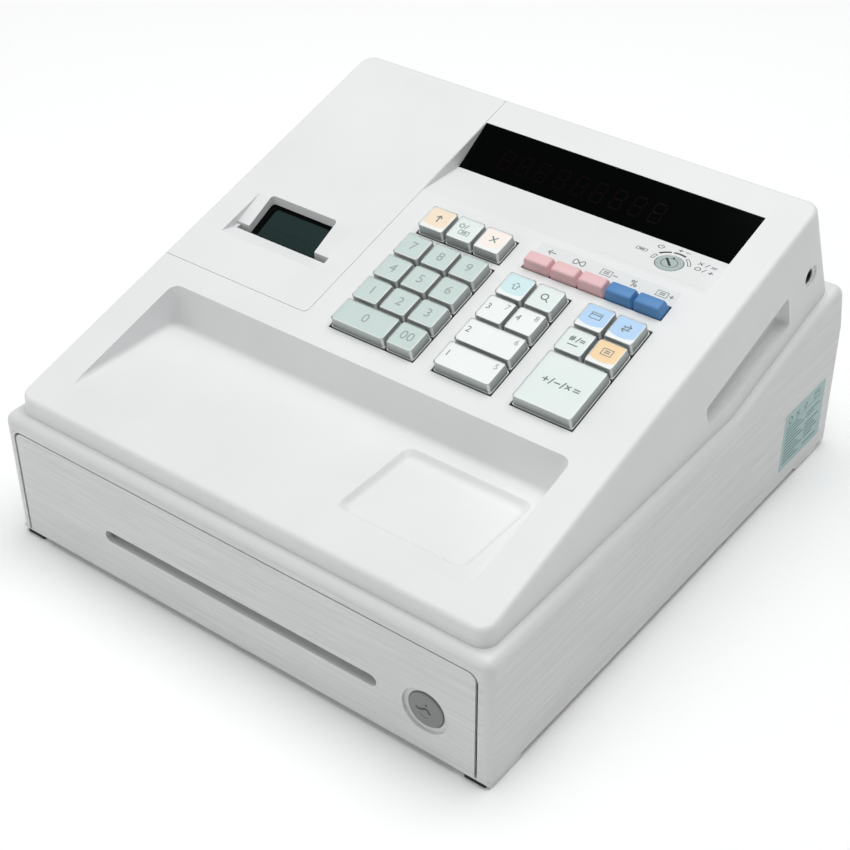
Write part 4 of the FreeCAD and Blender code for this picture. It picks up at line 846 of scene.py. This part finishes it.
def all_keys():
    """Every key, from its CAD node."""
    buttons = ["key_escape", "key_repeat", "key_paid_out", "key_percent", "key_received"]
    for node in sorted(NODES):
        if not node.startswith("key_"):
            continue
        low, high = extents(node, TOP)
        if node in buttons:
            push_button(node, low, high)
            continue
        key = node[len("key_"):]
        cap = clear_cap(f"{node}_cap", low, high, node)
        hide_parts(node)
        key_card(key, f"{node}_card", low, high, node)


WELLS = {"number": ["0", "00", "1", "2", "3", "4", "5", "6", "7", "8", "9"],
         "item": ["item1", "item2", "item3", "item4", "shift", "lookup"],
         "total": ["total", "subtotal", "cheque", "credit", "exchange"],
         "paper": ["feed", "receipt", "clear"],
         "function": ["escape", "repeat", "paid_out", "percent", "received"]}


def well_guides():
    """Black plates in the wells, each with a hole for every key: painted shade that makes the gaps round the
    keys read black.
    """
    for name, members in WELLS.items():
        spans = [extents(f"key_{member}", TOP) for member in members]
        reach = 0.8 * MM if name != "function" else 0.25 * MM
        x0 = min(low.x for low, high in spans) - reach
        x1 = max(high.x for low, high in spans) + reach
        y0 = min(low.y for low, high in spans) - reach
        y1 = max(high.y for low, high in spans) + reach
        clear = 0.08 * MM
        holes = [rounded_outline(low.x - clear, low.y - clear, high.x + clear, high.y + clear, 0.5 * MM, 3)
                 for low, high in spans]
        form = bmesh.new()
        add_pierced_plate(form, rounded_outline(x0, y0, x1, y1, 0.1 * MM, 1), holes, -2.4 * MM, -0.55 * MM)
        piece_from(form, f"well_shade_plate_{name}", TOP, [well_shade_black], "case")


# ---------------------------------------------------------------- printed strips and labels

def button_strip():
    """The strip of generic signs behind the coloured buttons."""
    form = bmesh.new()
    left = extents("key_escape", TOP)[0]
    right = extents("key_received", TOP)[1]
    front = right.y + 0.9 * MM
    rear = front + 10.4 * MM
    add_plate(form, rounded_outline(left.x - 0.8 * MM, front, right.x + 0.4 * MM, rear, 1.2 * MM),
              -0.05 * MM, 0.05 * MM)
    pitch = (right.x - left.x) / 5
    y = (front + rear) / 2 + 0.3 * MM
    columns = [left.x + pitch * (i + 0.5) for i in range(5)]
    signs = [sign_arrow(columns[0], y, 5.0 * MM, 90), sign_endless(columns[1], y, 7.2 * MM),
             sign_slip(columns[2], y, 6.6 * MM, 4.0 * MM) + sign_minus(columns[2] + 5.8 * MM, y, 2.8 * MM),
             sign_percent(columns[3], y, 4.2 * MM),
             sign_slip(columns[4], y, 6.6 * MM, 4.0 * MM) + sign_plus(columns[4] + 5.8 * MM, y, 2.8 * MM)]
    for strokes in signs:
        for points, closed in strokes:
            add_stroke(form, points, 0.65 * MM, 0.06 * MM, 1, closed)
    piece_from(form, "button_strip", TOP, [strip_grey, ink_grey], "case")


def mode_legend():
    """The patch round the mode switch: arcs for its positions, and generic signs."""
    low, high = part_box("mode_lock_rotor")
    x, y = (low.x + high.x) / 2, (low.y + high.y) / 2
    shelf_front, shelf_rear = 55 * MM, 89.7 * MM
    rear_height = high.z - 0.9 * MM
    fall = PLANE_FRONT + SLOPE * (HALF_DEPTH + shelf_front) - rear_height
    place = (Matrix.Translation((0, shelf_rear, rear_height))
             @ Matrix.Rotation(-math.atan(fall / (shelf_rear - shelf_front)), 4, "X")
             @ Matrix.Translation((0, -shelf_rear, 0)))
    form = bmesh.new()
    outline = rounded_outline(66 * MM, 58.6 * MM, 137.2 * MM, 89 * MM, 1.5 * MM)
    hole = arc(x, y, 8.6 * MM, 0, 360, 40)[:-1]
    add_pierced_plate(form, outline, [hole], -0.02 * MM, 0.1 * MM)
    ink = 0.12 * MM
    for start, end in ((150, 114), (107, 68)):
        add_stroke(form, arc(x, y, 11.4 * MM, start, end, 10), 1.4 * MM, ink, 1)
    for start, end in ((184, 160), (56, 18)):
        for radius in (10.0, 11.6):
            add_stroke(form, arc(x, y, radius * MM, start, end, 10), 0.4 * MM, ink, 1)
        for angle in (start, end):
            c, s = math.cos(math.radians(angle)), math.sin(math.radians(angle))
            add_stroke(form, [(x + r * c * MM, y + r * s * MM) for r in (10.0, 11.6)], 0.4 * MM, ink, 1)
    signs = (sign_power(x - 12.5 * MM, y + 12.4 * MM, 1.7 * MM)
             + sign_slip(x - 20 * MM, y + 4.0 * MM, 6.4 * MM, 2.6 * MM)
             + sign_plus(x - 1.4 * MM, y + 15.0 * MM, 3.0 * MM)
             + sign_minus(x + 3.2 * MM, y + 15.0 * MM, 3.0 * MM)
             + sign_cross(x + 14.5 * MM, y + 9.6 * MM, 2.8 * MM)
             + sign_slash(x + 18.4 * MM, y + 9.6 * MM, 3.2 * MM)
             + sign_equals(x + 22.6 * MM, y + 9.6 * MM, 3.4 * MM)
             + sign_ring(x + 15.5 * MM, y + 4.0 * MM, 1.6 * MM)
             + sign_slash(x + 19.4 * MM, y + 4.0 * MM, 3.2 * MM)
             + sign_plus(x + 23.6 * MM, y + 4.0 * MM, 3.2 * MM))
    for points, closed in signs:
        add_stroke(form, points, 0.5 * MM, ink, 1, closed)
    piece_from(form, "mode_legend", place, [legend_white, dark_ink_and_shade], "case")


def mode_face_plate():
    """The turning plug of the mode switch, with its ring groove, dot and key slot; the groove and the key
    slot get painted shade as dark strokes.
    """
    low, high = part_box("mode_lock_rotor")
    radius = (high.x - low.x) / 2
    place = Matrix.Translation(((low.x + high.x) / 2, (low.y + high.y) / 2, high.z))
    form = bmesh.new()
    profile = [(radius - 0.05 * MM, low.z - high.z), (radius - 0.05 * MM, -0.8 * MM),
               (radius - 0.35 * MM, -0.5 * MM), (5.1 * MM, -0.42 * MM), (4.9 * MM, -0.6 * MM),
               (4.5 * MM, -0.6 * MM), (4.3 * MM, -0.42 * MM), (2 * MM, -0.4 * MM)]
    add_loft(form, disc_rings(profile))
    top = -0.38 * MM
    # painted shade: a dark stroke in place of the key slot's opening
    add_stroke(form, [(-3.6 * MM, 3.4 * MM), (2.0 * MM, -2.8 * MM)], 1.4 * MM, top, 1)
    add_stroke(form, arc(-0.2 * MM, 5.3 * MM, 0.35 * MM, 0, 330, 10), 0.7 * MM, top, 1, True)
    # painted shade: a dark line in the bottom of the ring groove
    add_stroke(form, arc(0, 0, 4.7 * MM, 0, 350, 40), 0.3 * MM, -0.58 * MM, 1, True)
    piece = piece_from(form, "mode_face_plate", place, [mode_face, dark_ink_and_shade], "mode_plug", 30)
    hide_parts("mode_lock_rotor")


def drawer_lock_plate():
    """The turned face of the drawer lock, with its curved keyway, dot and inner arc; the keyway and the inner
    arc are painted shade, as dark strokes.
    """
    low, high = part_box("drawer_lock_rotor")
    lock_x = (low.x + high.x) / 2
    radius = (high.x - low.x) / 2
    lock_z = low.z + radius
    place = Matrix.Translation((lock_x, low.y, lock_z)) @ Matrix.Rotation(math.radians(90), 4, "X")
    form = bmesh.new()
    profile = [(radius - 0.1 * MM, -0.4 * MM), (radius - 0.1 * MM, 0.5 * MM), (radius - 0.7 * MM, 1.0 * MM),
               (radius - 2.2 * MM, 1.2 * MM), (4 * MM, 1.35 * MM), (2 * MM, 1.38 * MM)]
    add_loft(form, disc_rings(profile))
    top = 1.38 * MM
    # painted shade: the keyway is a dark stroke in place of its opening
    keyway = [(-5.6, 0.4), (-4.2, -0.3), (-2.4, -0.1), (-0.8, 0.9), (0.4, 1.6), (1.8, 1.0), (2.6, -0.4),
              (3.6, -1.0)]
    add_stroke(form, [(u * MM, v * MM) for u, v in keyway], 1.3 * MM, top, 1)
    add_stroke(form, arc(0.8 * MM, 4.0 * MM, 0.35 * MM, 0, 330, 10), 0.8 * MM, top, 1, True)
    # painted shade: a dark arc along the lower left of the face's inner rise
    add_stroke(form, arc(0, 0, 4.6 * MM, 215, 300, 12), 0.35 * MM, 1.33 * MM, 1)
    piece_from(form, "drawer_lock_plate", place, [lock_face, dark_ink_and_shade], "lock_plug", 30)


DIGITS = 9
FIRST_DIGIT = -24.5 * MM
DIGIT_PITCH = 12.9 * MM


def seven_segments(x, y, wide, tall):
    """The seven bars of a digit, leaning a little."""
    lean = 0.08
    half = tall / 2

    def at(u, v):
        return (x + u * wide / 2 + v * half * lean, y + v * half)

    g = 0.12
    return [[at(-1 + g, 1), at(1 - g, 1)], [at(-1 + g, 0), at(1 - g, 0)], [at(-1 + g, -1), at(1 - g, -1)],
            [at(-1, 1 - g), at(-1, g)], [at(1, 1 - g), at(1, g)], [at(-1, -g), at(-1, -1 + g)],
            [at(1, -g), at(1, -1 + g)]]


def display_ghosts():
    """Nine unlit digits that can just be seen through the filter."""
    front_edge = Vector((0, 89.7 * MM, 160 * MM))
    rear_edge = Vector((0, 118 * MM, PLANE_FRONT + SLOPE * (HALF_DEPTH + 118 * MM)))
    along = rear_edge - front_edge
    angle = math.atan2(along.z, along.y)
    place = Matrix.Translation(front_edge) @ Matrix.Rotation(angle, 4, "X")
    form = bmesh.new()
    for i in range(DIGITS):
        x = FIRST_DIGIT + DIGIT_PITCH * i
        for bar in seven_segments(x, 14.2 * MM, 6.8 * MM, 12.4 * MM):
            add_stroke(form, bar, 0.9 * MM, -0.09 * MM, 0)
    piece_from(form, "display_digits", place, [ghost_red], "case")


def rating_label():
    """A rating label on the right side: generic marks over rules in place of its text."""
    facing_right = Matrix(((0, 0, 1, 0), (1, 0, 0, 0), (0, 1, 0, 0), (0, 0, 0, 1)))
    place = Matrix.Translation((SIDE_X, 0, 0)) @ facing_right
    form = bmesh.new()
    add_plate(form, rounded_outline(115 * MM, 15 * MM, 165 * MM, 56 * MM, 1 * MM), -0.05 * MM, 0.1 * MM)
    ink = 0.11 * MM
    marks = (sign_ring(122 * MM, 50 * MM, 2.2 * MM) + sign_cross(131 * MM, 50 * MM, 3.6 * MM)
             + sign_shift(141 * MM, 50 * MM, 4.4 * MM) + sign_card(155 * MM, 50.5 * MM, 6 * MM, 5 * MM))
    for points, closed in marks:
        add_stroke(form, points, 0.9 * MM, ink, 1, closed)
    for row in range(11):
        z = (44.5 - 2.5 * row) * MM
        for start, reach in ((118, 15 + 4 * (row % 3)), (143, 11 + 3 * ((row + 1) % 3))):
            if start == 118 or row not in (0, 3, 9):
                add_stroke(form, [(start * MM, z), ((start + reach) * MM, z)], 1.1 * MM, ink, 1)
    add_stroke(form, [(118 * MM, 46.6 * MM), (162 * MM, 46.6 * MM)], 0.35 * MM, ink, 1)
    piece_from(form, "rating_label", place, [side_label, ink_label], "case")


def window_mask():
    """The black border on the printer's window, and the tear bar behind the glass."""
    outlet_y = -9.4 * MM
    angle = math.atan(SLOPE + 0.2)
    place = (Matrix.Translation((0, outlet_y, PLANE_FRONT + SLOPE * (HALF_DEPTH + outlet_y) - 10 * MM))
             @ Matrix.Rotation(angle, 4, "X"))
    left, right, rear = -131 * MM, -81 * MM, 24.1 * MM
    form = bmesh.new()
    turn = 2.7 * MM
    outline = ([(left, 0), (right, 0)] + arc(right - turn, rear - turn, turn, 0, 90, 6)
               + arc(left + turn, rear - turn, turn, 90, 180, 6))
    hole = ([(left + 4.6 * MM, 1.3 * MM), (right - 0.3 * MM, 1.3 * MM), (right - 0.3 * MM, rear - 2.6 * MM)]
            + arc(left + 7.4 * MM, rear - 5.0 * MM, 2.4 * MM, 90, 180, 6))
    add_pierced_plate(form, outline, [hole], 0.02 * MM, 0.12 * MM)
    for s, width in ((4.2, 0.5), (6.0, 0.35), (8.6, 0.9)):
        add_stroke(form, [(left + 5 * MM, s * MM), (right - 0.5 * MM, s * MM)], width * MM, 0.03 * MM, 1)
    piece_from(form, "window_mask", place, [mask_black, guide_green], "cover")


def drawer_seal():
    """A black strip in the gap round the drawer's panel: painted shade that makes the gap read dark."""
    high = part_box("drawer_front")[1]
    gap = 0.1 * MM
    outer_x, outer_z = 160.25 * MM, 76.95 * MM
    form = bmesh.new()
    for side in (-1, 1):
        spans = sorted((side * (high.x + gap), side * outer_x))
        add_plate(form, rounded_outline(spans[0], -178.6 * MM, spans[1], -169 * MM, 0.2 * MM, 2),
                  6 * MM, 70 * MM)
    add_plate(form, rounded_outline(-154 * MM, -178.6 * MM, 154 * MM, -169 * MM, 0.3 * MM, 2),
              high.z + gap, outer_z)
    piece_from(form, "drawer_seal", Matrix(), [gap_shade_black], "case")


# ---------------------------------------------------------------- floor, light and camera

def stage():
    """A plain pale floor and soft light from above."""
    mesh = bpy.data.meshes.new("floor")
    reach = 6
    mesh.from_pydata([(-reach, -reach, 0), (reach, -reach, 0), (reach, reach, 0), (-reach, reach, 0)], [],
                     [(0, 1, 2, 3)])
    made, tree, shader, place = new_material("floor_paper")
    patches = noise(tree, place, 0.8, 3)
    tree.links.new(ramp(tree, patches, [(0.3, (0.968, 0.968, 0.968)), (0.7, (0.972, 0.972, 0.972))]),
                   shader.inputs["Base Color"])
    shader.inputs["Roughness"].default_value = 0.9
    shader.inputs["Specular IOR Level"].default_value = 0.1
    mesh.materials.append(made)
    floor = bpy.data.objects.new("floor", mesh)
    bpy.context.scene.collection.objects.link(floor)

    world = bpy.data.worlds.new("studio")
    world.use_nodes = True
    world.node_tree.nodes["Background"].inputs["Color"].default_value = (0.97, 0.99, 1, 1)
    world.node_tree.nodes["Background"].inputs["Strength"].default_value = 0.225
    bpy.context.scene.world = world

    for name, spot, size, power, colour in (
            ("overhead", (0.35, 0.35, 2.5), 2.4, 52, (1, 1, 1)),
            ("left_top", (-0.7, -0.3, 2.6), 2.4, 12, (1, 1, 1)),
            ("front_fill", (-1.2, -2.4, 1.1), 2.2, 14, (1, 0.995, 0.99)),
            ("left_fill", (-2.6, -0.2, 1.3), 1.8, 9, (1, 1, 1))):
        lamp = bpy.data.lights.new(name, "AREA")
        lamp.shape = "SQUARE"
        lamp.size = size
        lamp.energy = power
        lamp.color = colour
        holder = bpy.data.objects.new(name, lamp)
        holder.location = spot
        holder.rotation_euler = (Vector((0, 0, 0.1)) - Vector(spot)).to_track_quat("-Z", "Y").to_euler()
        holder.visible_glossy = name != "left_top"
        bpy.context.scene.collection.objects.link(holder)
    bpy.context.scene.view_settings.view_transform = "Standard"


def camera():
    """The viewpoint: in front and to the right, looking down on the keyboard."""
    azimuth, elevation, roll = math.radians(37.392), math.radians(36.931), math.radians(-0.327)
    target = Vector((8.921 * MM, -19.022 * MM, 60 * MM))
    distance = 1.0266
    back = Vector((math.sin(azimuth) * math.cos(elevation), -math.cos(azimuth) * math.cos(elevation),
                   math.sin(elevation)))
    lens = bpy.data.cameras.new("camera")
    lens.lens = 75.65
    lens.sensor_width = 36
    lens.shift_x = -0.0048
    lens.shift_y = -0.0003
    lens.clip_start = 0.05
    holder = bpy.data.objects.new("camera", lens)
    holder.rotation_mode = "QUATERNION"
    holder.location = target + back * distance
    turned = (-back).to_track_quat("-Z", "Y").to_matrix().to_4x4() @ Matrix.Rotation(roll, 4, "Z")
    holder.rotation_quaternion = turned.to_quaternion()
    bpy.context.scene.collection.objects.link(holder)
    bpy.context.scene.camera = holder


camera()
stage()
all_keys()
well_guides()
button_strip()
mode_legend()
mode_face_plate()
drawer_lock_plate()
display_ghosts()
window_mask()
drawer_seal()
rating_label()
